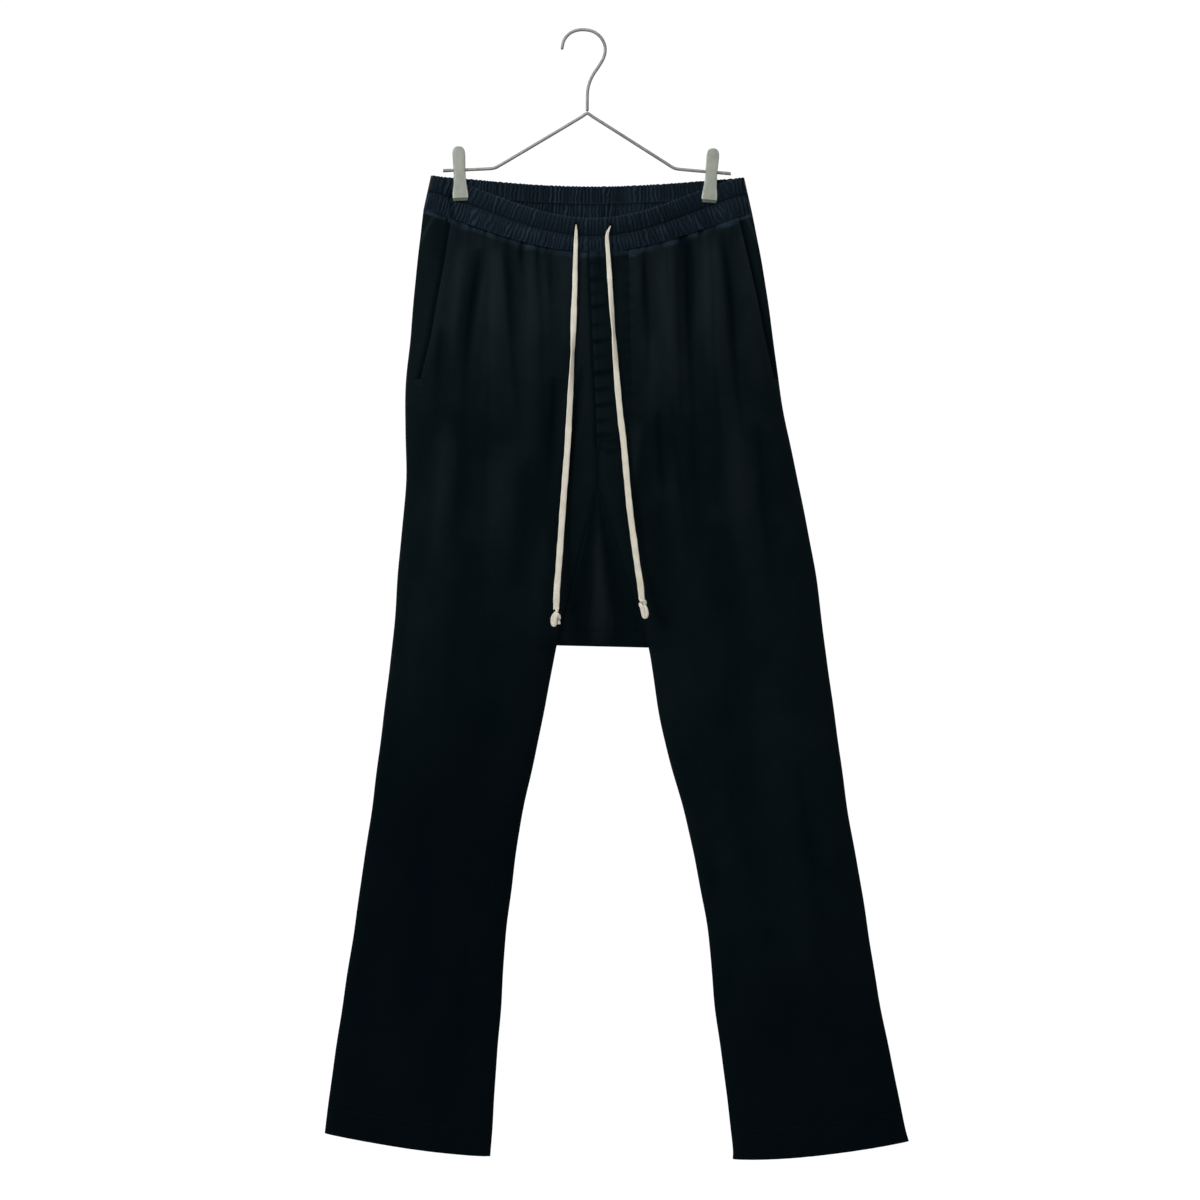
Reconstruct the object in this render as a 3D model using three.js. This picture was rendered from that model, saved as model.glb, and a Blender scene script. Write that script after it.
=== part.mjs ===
// Harem pants with a dropped crotch, hung by two clips from a wire trouser hanger.
// Millimetres, +Z up, +X to the viewer's right. The front of the trousers faces -Y.
// The origin is the inside top of the hook, where the rail carries it.
// Right and left are the wearer's own, so the right leg lies at -X.
import * as THREE from "three";

// Cloth sizes
const SEAM = 0.3;
const CLOTH = 1.3;
const HEM_WALL = 2.2;
const BAND_WALL = 2.0;
const PLACKET_WALL = 1.1;

// Elasticated waistband: its gathers, its two tiers and the shape of its sag
const RIBS_PER_QUARTER = 40;
const RIB_HEIGHT = 0.9;
const TIER_PUFF = 0.7;
const BAND_INSIDE_STEPS = 20;
const SAG_TOP = 1.45;
const SAG_BOTTOM = 1.2;
const SAG_BACK = 1.05;
const BAND_TOP_FRONT_Z = -205.2;
const BAND_TOP_BACK_Z = -172.4;

// Waist seen from above: the grip of the clips, the loops beyond them and the round of the belly
const GRIP = 2.15;
const SIDE_LOOP = 2.6;
const SIDE_POWER = 6;
const BELLY_POWER = 1.2;
const CLIP_FLAT = 0.058;
const PINCH_FADE = 2;

// Cross-sections of the body and legs
const TUBE_POWER = 2.4;
const FOLD_POWER = 1.6;
const CROTCH_ROUND = 0.08;

// Small gathers that hang from the waist seam of each panel
const GATHERS_PER_PANEL = 6;
const GATHER_DEPTH = 1.3;
const GATHER_FADE = 1.1;
const GATHERED_FROM = 0.22;
const GATHERED_TO = 0.72;
const GATHERED_EDGE = 0.04;

// Crotch gusset
const GUSSET_COLUMNS = 6;
const GUSSET_RIDGE = 3.2;
const GUSSET_VALLEY = 2.4;
const GUSSET_RIDGE_POWER = 6;
const GUSSET_SWELL = 1.4;
const GUSSET_APEX = 0.06;
const GUSSET_FIRST_ROW = 0.16;
const GUSSET_EDGE_SLOPE = 0.27;

// Wire, clips and spring bushes
const WIRE = 3.2;
const WIRE_SIDES = 8;
const PLATE = 1.2;
const FIT = 0.3;
const JAW_GAP = SEAM / 2 + GRIP + RIB_HEIGHT + TIER_PUFF / 2 + FIT;
const CLIP_SPREAD = 0.03;
const JAW_REACH = 34;
const BUSH_RADIUS = JAW_GAP + CLIP_SPREAD * JAW_REACH - FIT;
const BUSH_LENGTH = 16;
const BUSH_SIDES = 14;

// Drawstring
const CORD_WIDTH = 7;
const CORD_THICKNESS = 2;
const CORD_STEPS = 26;

const TINY = 1e-6;
const NORMAL_REACH = 0.006;
const FRONT = -1;
const BACK = 1;

function table(columns, rows) {
  const names = columns.split(" ");
  return rows.map((row) => Object.fromEntries(names.map((name, i) => [name, row[i]])));
}

// Sections of each leg from the waist seam to the hem. The outer edge is the side seam. The inner
// edge is the centre seam down to the fork, the gusset seam down to the crotch, then the inseam.
// Depths are half depths, front and back of the side seam. Steps and columns set the mesh.
const SECTIONS = "name outerX outerZ innerX frontZ backZ front back steps columns";
const RIGHT_SECTIONS = table(SECTIONS, [
  ["waist", -176, -196.1, 9.4, -244.2, -209.3, 27, 13, 3, 24],
  ["yoke", -182.6, -253.8, 10.5, -295.6, -275, 31, 21, 3, 22],
  ["hip", -189.8, -328.6, 12.1, -356.1, -345, 34, 30, 2, 16],
  ["seat", -196.4, -405.6, 13.8, -422.1, -418, 34, 36, 1, 14],
  ["fork", -195.3, -491.4, 13.8, -500.2, -500.2, 32, 34, 2, 12],
  ["gusset", -200.8, -559.6, -1.5, -560.7, -560.7, 30, 31, 2, 12],
  ["rise", -206.3, -625.6, -17.8, -625.6, -625.6, 27, 28, 3, 12],
  ["crotch", -211.2, -678.4, -30.6, -676, -676, 24, 25, 2, 10],
  ["thigh", -221.7, -768.6, -47.9, -767.5, -767.5, 22, 23, 1, 8],
  ["lower_thigh", -234.9, -867.6, -69.9, -870.9, -870.9, 20, 21, 2, 8],
  ["knee", -249.2, -966.6, -84.2, -973.2, -973.2, 18, 19, 1, 8],
  ["calf", -264.6, -1065.6, -91.9, -1076.6, -1076.6, 17, 17, 1, 8],
  ["hem_line", -281.1, -1183.3, -101.6, -1208.6, -1208.6, 16, 16, 1, 8],
  ["hem", -284.9, -1211.9, -103.4, -1237.2, -1237.2, 16, 16, 0, 8],
]);
const LEFT_SECTIONS = table(SECTIONS, [
  ["waist", 183.2, -199.9, 9.4, -244.2, -209.3, 27, 13, 3, 24],
  ["yoke", 193.6, -253.8, 10.5, -295.6, -275, 31, 21, 3, 22],
  ["hip", 205.2, -328.6, 12.1, -356.1, -345, 34, 30, 2, 16],
  ["seat", 215.6, -405.6, 13.8, -422.1, -418, 34, 36, 1, 14],
  ["fork", 233.2, -491.4, 13.8, -500.2, -500.2, 32, 34, 2, 12],
  ["gusset", 246.4, -559.6, 33, -560.7, -560.7, 30, 31, 2, 12],
  ["rise", 257.4, -625.6, 53.6, -625.6, -625.6, 27, 28, 3, 12],
  ["crotch", 264, -678.4, 70.4, -678.4, -678.4, 24, 25, 2, 10],
  ["thigh", 276.1, -768.6, 84.7, -767.5, -767.5, 22, 23, 1, 8],
  ["lower_thigh", 290.4, -867.6, 112.2, -870.9, -870.9, 20, 21, 2, 8],
  ["knee", 307.5, -966.6, 133.1, -973.2, -973.2, 18, 19, 1, 8],
  ["calf", 323.4, -1065.6, 143.6, -1076.6, -1076.6, 17, 17, 1, 8],
  ["hem_line", 347.9, -1188.8, 161.2, -1209.7, -1209.7, 16, 16, 1, 8],
  ["hem", 355.9, -1220.7, 162.8, -1240.5, -1240.5, 16, 16, 0, 8],
]);
const stationOf = (name) => RIGHT_SECTIONS.findIndex((row) => row.name === name);
const FORK = stationOf("fork");
const CROTCH = stationOf("crotch");
const HEM_LINE = stationOf("hem_line");
const HEM = stationOf("hem");

// Each leg: the side it lies on, its band's top corner, where its clip grips and how its hem bows
const [RIGHT, LEFT] = table("side sections bandTopX bandTopZ clipAt hemBow", [
  [-1, RIGHT_SECTIONS, -168, -159.2, 0.19, 0.5],
  [1, LEFT_SECTIONS, 174.4, -161.4, 0.21, 1],
]);

// Slanted pocket openings: how far inside the side seam, as a share of the panel, by station
const POCKET_RIGHT = table("station share", [[0, 0.165], [1, 0.15], [2, 0.115], [2.7, 0.08]]);
const POCKET_LEFT = table("station share", [[0, 0.09], [1, 0.075], [2, 0.05], [2.7, 0.025]]);
const POCKET_END = 2.7;
const POCKET_STEP = 0.04;
const POCKET_TUCK = 0.09;
const POCKET_SINK = 0.7;
const SINK_REACH = 0.8;
const FACING_COLUMNS = 4;
const FACING_CROWDING = 1.6;

// Folds are deepest above their middle, and die out towards a panel's seams over a share of its width
const FOLD_RUN = 0.6;
const SIDE_CALM = 0.02;
const CALM_EDGE = 0.14;

// Largest folds, as troughs in the front and back: top and bottom point, depth and half width
const FOLDS = table("face topX topZ bottomX bottomZ depth width", [
  [FRONT, -116, -240, -134, -395, 6, 9],
  [FRONT, -86, -233, -74, -362, 4, 8],
  [FRONT, -36, -243, -34, -307, 2.4, 7],
  [FRONT, -155, -330, -162, -410, 3, 9],
  [FRONT, -31, -384, -40, -511, 3.5, 9],
  [FRONT, 68, -244, 70, -346, 3, 7],
  [FRONT, 114, -226, 118, -380, 6, 9],
  [FRONT, 152, -217, 173, -405, 4.5, 9],
  [FRONT, 83, -423, 86, -505, 2.5, 8],
  [FRONT, -120, -560, -150, -820, 2.5, 16],
  [FRONT, 150, -540, 190, -820, 2.5, 16],
  [BACK, -118, -212, -130, -380, 5.5, 10],
  [BACK, -60, -215, -52, -330, 3.5, 8],
  [BACK, 62, -215, 58, -345, 3.5, 8],
  [BACK, 116, -214, 128, -390, 5.5, 10],
  [BACK, 150, -520, 185, -800, 3, 16],
  [BACK, -110, -520, -145, -800, 3, 16],
]);

// Fly placket: station, left edge and right edge
const PLACKET = table("station left right", [
  [0, 5.2, 48], [1, 7, 49], [2, 9.5, 50], [2.8, 12, 50.5], [3.2, 13, 46], [3.4, 13.8, 38],
  [3.5, 14.2, 30],
]);
const PLACKET_COLUMNS = 5;

// Hook of the hanger, from its tip to its neck, then one side after the other of the bent arms
const HOOK = [
  [-25, -20.4], [-22.8, -10.5], [-17, -3], [-9, 0.8], [0.5, 1.6], [10, -0.6], [17.4, -6.2], [21.8, -14],
  [22.7, -22], [20.6, -30], [15.4, -39], [10, -47], [6, -55], [3.8, -63], [3.1, -71], [3, -80],
  [3, -88.4],
];
const HOOK_STEPS = 26;
const ARMS = [
  [-155.7, -153.4], [-138, -152.7], [-120, -152], [-104, -151.2], [-98.6, -150.2], [-92.5, -147.2],
  [-60, -128], [-30, -110.2], [-4, -94.6], [-0.6, -92.2], [3, -90.4], [6.6, -92.2], [10, -94.6],
  [40, -113.6], [70, -132.7], [90.5, -145.7], [95.5, -148.9], [101.5, -151.4], [118, -153.1],
  [139.6, -154.9], [161.2, -156.7],
];
const ARM_STEPS = 48;

// Clips: where each crosses the wire, its lean, and the outline of a plate as half widths
const CLIPS = table("name x z lean", [["right", -137.6, -152.7, -0.042], ["left", 139.6, -154.9, 0.083]]);
const PLATE_OUTLINE = table("z half", [
  [-JAW_REACH, 8.6], [-27, 8.9], [-12, 7.4], [-2, 6.9], [8, 7.2], [18, 7.4], [22, 6.6], [24.6, 4.6],
  [25.6, 1.8],
]);
const LIP_DROP = 2.4;
const PLATE_FLAT = 0.4;

// Drawstring routes: out of each buttonhole, over the belly, then plumb down in front of the cloth
const CORD_RIGHT = [
  [-9.4, -30.1, -212.4], [-9.5, -30.3, -217], [-9.6, -30.4, -225], [-9.6, -30.6, -240], [-10.2, -31, -262],
  [-10.6, -31.8, -285], [-11.6, -33.3, -312], [-12.4, -35.1, -340], [-13.6, -35.9, -368], [-15, -35.9, -395],
  [-16.8, -35.9, -428], [-18.7, -35.9, -461], [-21.2, -35.9, -494], [-23.7, -35.9, -527], [-26, -35.9, -560],
  [-28.3, -35.9, -592], [-30.2, -35.9, -615], [-30.9, -35.9, -636],
];
const CORD_LEFT = [
  [28.5, -29.8, -214], [26.8, -29.9, -218.4], [25, -30, -226], [24, -30.2, -237], [25.6, -30.8, -255],
  [28, -32.1, -285], [30.4, -34.5, -315], [32.6, -36.8, -345], [34.4, -37.6, -370], [36.4, -37.7, -395],
  [39.6, -37.7, -428], [42.6, -37.7, -452], [46, -37.7, -490], [49.6, -37.7, -527], [54, -37.7, -560],
  [58.4, -37.7, -592], [61, -37.7, -608], [62.6, -37.7, -624.6],
];
const KNOTS = table("name x y z wide deep tall", [
  ["right", -31.2, -35.9, -645.4, 6, 4.6, 9],
  ["left", 64.2, -37.7, -635.2, 6, 4.6, 10.2],
]);
const BUTTONHOLES = table("name x y z lean", [
  ["right", -9.4, -27.97, -212.4, 0],
  ["left", 28.5, -27.6, -214, 0.12],
]);
const BUTTONHOLE = { halfWidth: 3.4, halfHeight: 5.6, slotWidth: 1.7, slotHeight: 3.9, thickness: 0.8 };

function finish(color, roughness, metalness) {
  return new THREE.MeshStandardMaterial({ color, roughness, metalness });
}
const bodyCloth = () => finish(0x14181b, 0.9, 0);
const bandCloth = () => finish(0x1c2432, 0.55, 0);
const cordCotton = () => finish(0xc8c3af, 0.95, 0);
const clipSteel = () => finish(0x969b8f, 0.45, 0.8);
const wireSteel = () => finish(0x82827d, 0.4, 0.9);
const stitching = () => finish(0x222b3a, 0.8, 0);

const model = new THREE.Group();

function addPiece(name, geometry, material) {
  const mesh = new THREE.Mesh(geometry, material);
  mesh.name = name;
  model.add(mesh);
  return mesh;
}

// A named column at a place between two rows, along a smooth curve or a straight line
function smooth(rows, column, place) {
  const i = Math.min(Math.floor(place), rows.length - 2);
  const t = place - i;
  const at = (k) => rows[THREE.MathUtils.clamp(k, 0, rows.length - 1)][column];
  const [a, b, c, d] = [at(i - 1), at(i), at(i + 1), at(i + 2)];
  return b + 0.5 * t * (c - a + t * (2 * a - 5 * b + 4 * c - d + t * (3 * (b - c) + d - a)));
}

function straight(rows, column, place) {
  const i = Math.min(Math.floor(place), rows.length - 2);
  return THREE.MathUtils.lerp(rows[i][column], rows[i + 1][column], place - i);
}

function lookUp(rows, key, column, value) {
  const after = rows.findIndex((row) => row[key] >= value);
  if (after === 0) return rows[0][column];
  if (after < 0) return rows[rows.length - 1][column];
  const [a, b] = [rows[after - 1], rows[after]];
  return THREE.MathUtils.lerp(a[column], b[column], (value - a[key]) / (b[key] - a[key]));
}

// Soft step from 0 to 1 that starts at a value and takes a width
function rise(value, start, width) {
  return THREE.MathUtils.smoothstep(value, start, start + width);
}

// Closes two sheets of rows, outer and inner, into one wall. Rows may differ in their points, and
// are then joined along the shorter diagonals.
function wall(outer, inner) {
  const points = [];
  const index = [];
  const register = (rows) => rows.map((row) => row.map((point) => points.push(point) - 1));
  const diagonal = (row, k, other) => {
    return k < row.length - 1 ? points[row[k + 1]].distanceTo(points[other]) : Infinity;
  };
  const zip = (a, b) => {
    let i = 0;
    let j = 0;
    while (i < a.length - 1 || j < b.length - 1) {
      const inStep = a.length === b.length;
      if (inStep ? i <= j : diagonal(a, i, b[j]) <= diagonal(b, j, a[i])) {
        index.push(a[i], b[j], a[i + 1]);
        i += 1;
      } else {
        index.push(a[i], b[j], b[j + 1]);
        j += 1;
      }
    }
  };
  const out = register(outer);
  const inn = register(inner);
  const column = (rows, last) => rows.map((row) => row[last ? row.length - 1 : 0]);
  for (let k = 0; k < out.length - 1; k += 1) zip(out[k], out[k + 1]);
  for (let k = 0; k < inn.length - 1; k += 1) zip(inn[k + 1], inn[k]);
  zip(inn[0], out[0]);
  zip(out[out.length - 1], inn[inn.length - 1]);
  zip(column(out, false), column(inn, false));
  zip(column(inn, true), column(out, true));
  return solidFrom(points, index);
}

function solidFrom(points, index) {
  let volume = 0;
  for (let k = 0; k < index.length; k += 3) {
    const [a, b, c] = [points[index[k]], points[index[k + 1]], points[index[k + 2]]];
    volume += a.dot(new THREE.Vector3().crossVectors(b, c));
  }
  const faces = volume < 0 ? index.reverse() : index;
  const geometry = new THREE.BufferGeometry();
  const numbers = points.flatMap((point) => [point.x, point.y, point.z]);
  geometry.setAttribute("position", new THREE.Float32BufferAttribute(numbers, 3));
  geometry.setIndex(faces);
  geometry.computeVertexNormals();
  return geometry;
}

// Half depth of the waist at a share of the way from the side seam (0) to the centre (1)
function waistDepth(leg, face, share) {
  if (share < leg.clipAt - CLIP_FLAT) {
    const s = share / (leg.clipAt - CLIP_FLAT);
    return GRIP * Math.sqrt(1 - (1 - s) ** SIDE_POWER) + SIDE_LOOP * Math.sin(Math.PI * s);
  }
  const belly = leg.sections[0][face === FRONT ? "front" : "back"];
  const s = Math.max(0, share - leg.clipAt - CLIP_FLAT) / (1 - leg.clipAt - CLIP_FLAT);
  return THREE.MathUtils.lerp(GRIP, belly, Math.sin((s * Math.PI) / 2) ** BELLY_POWER);
}

// How much of the depth is left at the inner edge: all above the fork, none at the crotch fold
function openness(station) {
  if (station <= FORK) return 1;
  if (station >= CROTCH) return 0;
  return Math.sqrt(1 - ((station - FORK) / (CROTCH - FORK)) ** FOLD_POWER);
}

function foldDepth(face, x, z) {
  let depth = 0;
  for (const fold of FOLDS) {
    const along = (z - fold.topZ) / (fold.bottomZ - fold.topZ);
    if (fold.face !== face || along <= 0 || along >= 1) continue;
    const middle = THREE.MathUtils.lerp(fold.topX, fold.bottomX, along);
    const fade = Math.sin(Math.PI * along ** FOLD_RUN);
    depth += fold.depth * fade * Math.exp(-(((x - middle) / fold.width) ** 2));
  }
  return depth;
}

function gatherDepth(station, share) {
  const fade = Math.max(0, 1 - station / GATHER_FADE);
  const inside = rise(share, GATHERED_FROM, GATHERED_EDGE) * rise(GATHERED_TO - share, 0, GATHERED_EDGE);
  const phase = (share - GATHERED_FROM) / (GATHERED_TO - GATHERED_FROM);
  const wave = 0.5 - 0.5 * Math.cos(2 * Math.PI * GATHERS_PER_PANEL * phase);
  return GATHER_DEPTH * fade * inside * wave;
}

function bodyPoint(leg, face, station, share) {
  const rows = leg.sections;
  const edge = station < CROTCH ? straight : smooth;
  const innerX = edge(rows, "innerX", station) + leg.side * SEAM / 2;
  const innerZ = edge(rows, face === FRONT ? "frontZ" : "backZ", station);
  const outerX = smooth(rows, "outerX", station);
  const outerZ = smooth(rows, "outerZ", station);
  const sine = Math.sin((share * Math.PI) / 2);
  const top = 1 - THREE.MathUtils.smoothstep(station, 0, PINCH_FADE);
  const bottom = leg.hemBow * THREE.MathUtils.smoothstep(station, HEM_LINE - 1, HEM);
  const sag = face === FRONT ? SAG_BOTTOM : SAG_BACK;
  const drop = share + top * (sine ** sag - share) + bottom * (sine - share);
  const open = openness(station);
  const half = Math.sqrt(1 - (1 - share) ** TUBE_POWER);
  const tube = Math.sqrt(1 - Math.abs(2 * share - 1) ** TUBE_POWER);
  const full = smooth(rows, face === FRONT ? "front" : "back", station);
  const x = THREE.MathUtils.lerp(outerX, innerX, share);
  const z = THREE.MathUtils.lerp(outerZ, innerZ, drop);
  const round = full * THREE.MathUtils.lerp(tube, half, open);
  const calm = rise(share, SIDE_CALM, CALM_EDGE) * rise(1 - share, 0, CALM_EDGE);
  const folds = (foldDepth(face, x, z) + gatherDepth(station, share)) * calm;
  const depth = THREE.MathUtils.lerp(round, waistDepth(leg, face, share), top) - folds;
  return new THREE.Vector3(x, face * (SEAM / 2 + Math.max(depth, 0)), z);
}

// Direction out of the cloth in plan, across a row
function outward(leg, face, station, share) {
  if (share <= 0) return new THREE.Vector3(leg.side, 0, 0);
  if (share >= 1 && station < CROTCH) return new THREE.Vector3(0, face, 0);
  if (share >= 1) return new THREE.Vector3(-leg.side, 0, 0);
  const reach = NORMAL_REACH;
  const before = bodyPoint(leg, face, station, Math.max(share - reach, 0));
  const after = bodyPoint(leg, face, station, Math.min(share + reach, 1));
  const run = after.sub(before).setZ(0).normalize();
  const normal = new THREE.Vector3(-run.y, run.x, 0);
  return normal.y * face < 0 ? normal.negate() : normal;
}

function inward(leg, face, station, share, distance) {
  const point = bodyPoint(leg, face, station, share);
  const moved = point.clone().addScaledVector(outward(leg, face, station, share), -distance);
  if (moved.y * face < SEAM / 2) moved.y = face * SEAM / 2;
  return moved;
}

// Stations of the rows between two named sections, with one more just above the crotch fold
function stationsOf(leg, from, to) {
  const stations = [];
  leg.sections.forEach((row, i) => {
    for (let k = 0; k < row.steps; k += 1) stations.push(i + k / row.steps);
  });
  stations.push(CROTCH - CROTCH_ROUND, HEM);
  stations.sort((a, b) => a - b);
  return stations.filter((station) => station >= from - TINY && station <= to + TINY);
}

// Shares across a row: closer together where the cloth turns at a closed edge
function sharesOf(columns, open, start) {
  return Array.from({ length: columns + 1 }, (_, k) => {
    const u = k / columns;
    const half = 1 - Math.cos((u * Math.PI) / 2);
    const tube = (1 - Math.cos(u * Math.PI)) / 2;
    return start + (1 - start) * THREE.MathUtils.lerp(tube, half, open);
  });
}

function panelShares(leg, station, pocket) {
  const columns = leg.sections[Math.min(Math.floor(station), HEM)].columns;
  const start = pocket && station <= POCKET_END ? lookUp(pocket, "station", "share", station) : 0;
  return sharesOf(columns, openness(station), start);
}

// The row under a pocket's lower end: the row above, and the stretch out to the side seam
function sharesBelowPocket(leg, pocket) {
  const shares = panelShares(leg, POCKET_END, pocket);
  return [0, shares[0] / 2, ...shares];
}

function panel(leg, face, pocket) {
  const outer = [];
  const inner = [];
  const below = POCKET_END + POCKET_STEP;
  const pocketRows = pocket ? [POCKET_END, below] : [];
  const stations = [...stationsOf(leg, 0, HEM), ...pocketRows].sort((a, b) => a - b);
  for (const station of stations) {
    const thick = station >= HEM_LINE ? HEM_WALL : CLOTH;
    const stepped = pocket && station === below;
    const shares = stepped ? sharesBelowPocket(leg, pocket) : panelShares(leg, station, pocket);
    outer.push(shares.map((share) => bodyPoint(leg, face, station, share)));
    inner.push(shares.map((share) => inward(leg, face, station, share, thick)));
  }
  return wall(outer, inner);
}

// Facing behind a pocket opening: flush at the side seam and tucked under the front panel
function pocketFacing(leg, pocket) {
  const outer = [];
  const inner = [];
  const end = POCKET_END - POCKET_STEP / 2;
  for (const station of [...stationsOf(leg, 0, end), end]) {
    const opening = lookUp(pocket, "station", "share", station);
    const spaced = (_, k) => opening * (k / FACING_COLUMNS) ** FACING_CROWDING;
    const shown = Array.from({ length: FACING_COLUMNS }, spaced);
    const tucked = panelShares(leg, station, pocket).filter((share) => share <= opening + POCKET_TUCK);
    const shares = [...shown, ...tucked];
    const sink = CLOTH + POCKET_SINK;
    const under = (share) => sink * THREE.MathUtils.smoothstep(share, 0, opening * SINK_REACH);
    outer.push(shares.map((share) => inward(leg, FRONT, station, share, under(share))));
    inner.push(shares.map((share) => inward(leg, FRONT, station, share, under(share) + CLOTH)));
  }
  return wall(outer, inner);
}

// Gusset: from the front fork down to the crotch fold and up again to the back fork
function gussetRow(face, station, depthIn, fold) {
  const right = bodyPoint(RIGHT, face, station, 1);
  const left = bodyPoint(LEFT, face, station, 1);
  const lift = fold ? depthIn : 0;
  const spread = (station - FORK) / (CROTCH - FORK);
  const narrowing = GUSSET_EDGE_SLOPE * lift;
  const row = [];
  for (let k = 0; k <= GUSSET_COLUMNS; k += 1) {
    const t = k / GUSSET_COLUMNS;
    const crest = GUSSET_RIDGE * Math.sin(Math.PI * t) ** GUSSET_RIDGE_POWER;
    const ridge = crest - GUSSET_VALLEY * Math.sin(2 * Math.PI * t) ** 2;
    const x = THREE.MathUtils.lerp(right.x + SEAM + narrowing, left.x - SEAM - narrowing, t);
    const swell = Math.sin(Math.PI * spread ** GUSSET_SWELL);
    const y = THREE.MathUtils.lerp(right.y, left.y, t) + face * ridge * swell;
    const z = THREE.MathUtils.lerp(right.z, left.z, t) + lift;
    row.push(new THREE.Vector3(x, fold ? 0 : y - face * depthIn, z));
  }
  return row;
}

function gusset() {
  const down = stationsOf(RIGHT, FORK + GUSSET_FIRST_ROW, CROTCH).filter((station) => station < CROTCH);
  const half = [FORK + GUSSET_APEX, ...down];
  const rowsAt = (depthIn) => [
    ...half.map((station) => gussetRow(FRONT, station, depthIn, false)),
    gussetRow(FRONT, CROTCH, depthIn, true),
    ...half.toReversed().map((station) => gussetRow(BACK, station, depthIn, false)),
  ];
  return wall(rowsAt(0), rowsAt(CLOTH));
}

// Waistband: a share of the way from a side seam to the centre, at a height from top (0) to bottom (1)
function bandPoint(leg, face, height, share, raise) {
  const rows = leg.sections;
  const topZ = face === FRONT ? BAND_TOP_FRONT_Z : BAND_TOP_BACK_Z;
  const bottomZ = rows[0][face === FRONT ? "frontZ" : "backZ"] + SEAM;
  const sag = face === FRONT ? THREE.MathUtils.lerp(SAG_TOP, SAG_BOTTOM, height) : SAG_BACK;
  const outerX = THREE.MathUtils.lerp(leg.bandTopX, rows[0].outerX, height);
  const outerZ = THREE.MathUtils.lerp(leg.bandTopZ, rows[0].outerZ + SEAM, height);
  const centreZ = THREE.MathUtils.lerp(topZ, bottomZ, height);
  const x = THREE.MathUtils.lerp(outerX, rows[0].innerX, share);
  const z = THREE.MathUtils.lerp(outerZ, centreZ, Math.sin((share * Math.PI) / 2) ** sag);
  return new THREE.Vector3(x, face * (SEAM / 2 + waistDepth(leg, face, share) + raise), z);
}

function bandOutward(leg, face, height, share) {
  if (share <= 0) return new THREE.Vector3(leg.side, 0, 0);
  if (share >= 1) return new THREE.Vector3(0, face, 0);
  const reach = NORMAL_REACH;
  const before = bandPoint(leg, face, height, Math.max(share - reach, 0), 0);
  const run = bandPoint(leg, face, height, Math.min(share + reach, 1), 0).sub(before).setZ(0).normalize();
  const normal = new THREE.Vector3(-run.y, run.x, 0);
  return normal.y * face < 0 ? normal.negate() : normal;
}

const BAND_ROWS = table("height crest", [
  [0, 0.35], [0.09, 1], [0.4, 1], [0.49, 0.2], [0.58, 1], [0.9, 1], [1, 0.4],
]);

function waistband(face) {
  const rowAt = (height, steps, lift) => {
    const row = [];
    for (const [leg, order] of [[RIGHT, 1], [LEFT, -1]]) {
      for (let k = order > 0 ? 0 : 1; k <= steps; k += 1) {
        const step = order > 0 ? k : steps - k;
        const share = step / steps;
        const normal = bandOutward(leg, face, height, share);
        row.push(bandPoint(leg, face, height, share, 0).addScaledVector(normal, lift(step, share)));
      }
    }
    return row;
  };
  const puff = (height) => (TIER_PUFF / 2) * Math.sin(2 * Math.PI * Math.min(height, 1 - height)) ** 2;
  const outer = BAND_ROWS.map(({ height, crest }) => rowAt(height, 2 * RIBS_PER_QUARTER, (step, share) => {
    const free = rise(share, SIDE_CALM / 2, SIDE_CALM);
    return free * ((step % 2) * RIB_HEIGHT * crest + puff(height));
  }));
  const inner = [0, 1].map((height) => rowAt(height, BAND_INSIDE_STEPS, () => -BAND_WALL));
  for (const point of inner.flat()) {
    if (point.y * face < SEAM / 2) point.y = face * SEAM / 2;
  }
  return wall(outer, inner);
}

// Placket of the fly: laid over both fronts, from their own points moved out
function flyPlacket() {
  const last = PLACKET[PLACKET.length - 1].station;
  const stations = [...stationsOf(RIGHT, 0, last), ...PLACKET.map((row) => row.station)]
    .sort((a, b) => a - b)
    .filter((station, i, all) => i === 0 || station - all[i - 1] > TINY);
  const rowAt = (station, lift) => {
    const left = lookUp(PLACKET, "station", "left", station);
    const right = lookUp(PLACKET, "station", "right", station);
    return Array.from({ length: PLACKET_COLUMNS + 1 }, (_, k) => {
      const x = THREE.MathUtils.lerp(left, right, k / PLACKET_COLUMNS);
      const centre = straight(RIGHT_SECTIONS, "innerX", station);
      const leg = x < centre ? RIGHT : LEFT;
      const outerX = smooth(leg.sections, "outerX", station);
      const share = (x - outerX) / (centre - outerX);
      const point = bodyPoint(leg, FRONT, station, share);
      return new THREE.Vector3(x, point.y - lift, point.z);
    });
  };
  const outer = stations.map((station) => rowAt(station, 2 * SEAM + PLACKET_WALL));
  const inner = stations.map((station) => rowAt(station, 2 * SEAM));
  return wall(outer, inner);
}

// Round wire along a path in the plane of the hanger
function wire(path, steps) {
  const section = new THREE.Shape();
  section.absarc(0, 0, WIRE / 2, 0, 2 * Math.PI, false);
  const points = path.map(([x, z]) => new THREE.Vector3(x, 0, z));
  const curve = new THREE.CatmullRomCurve3(points, false, "centripetal");
  return new THREE.ExtrudeGeometry(section, {
    steps, extrudePath: curve, curveSegments: WIRE_SIDES / 2, bevelEnabled: false,
  });
}

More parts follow.
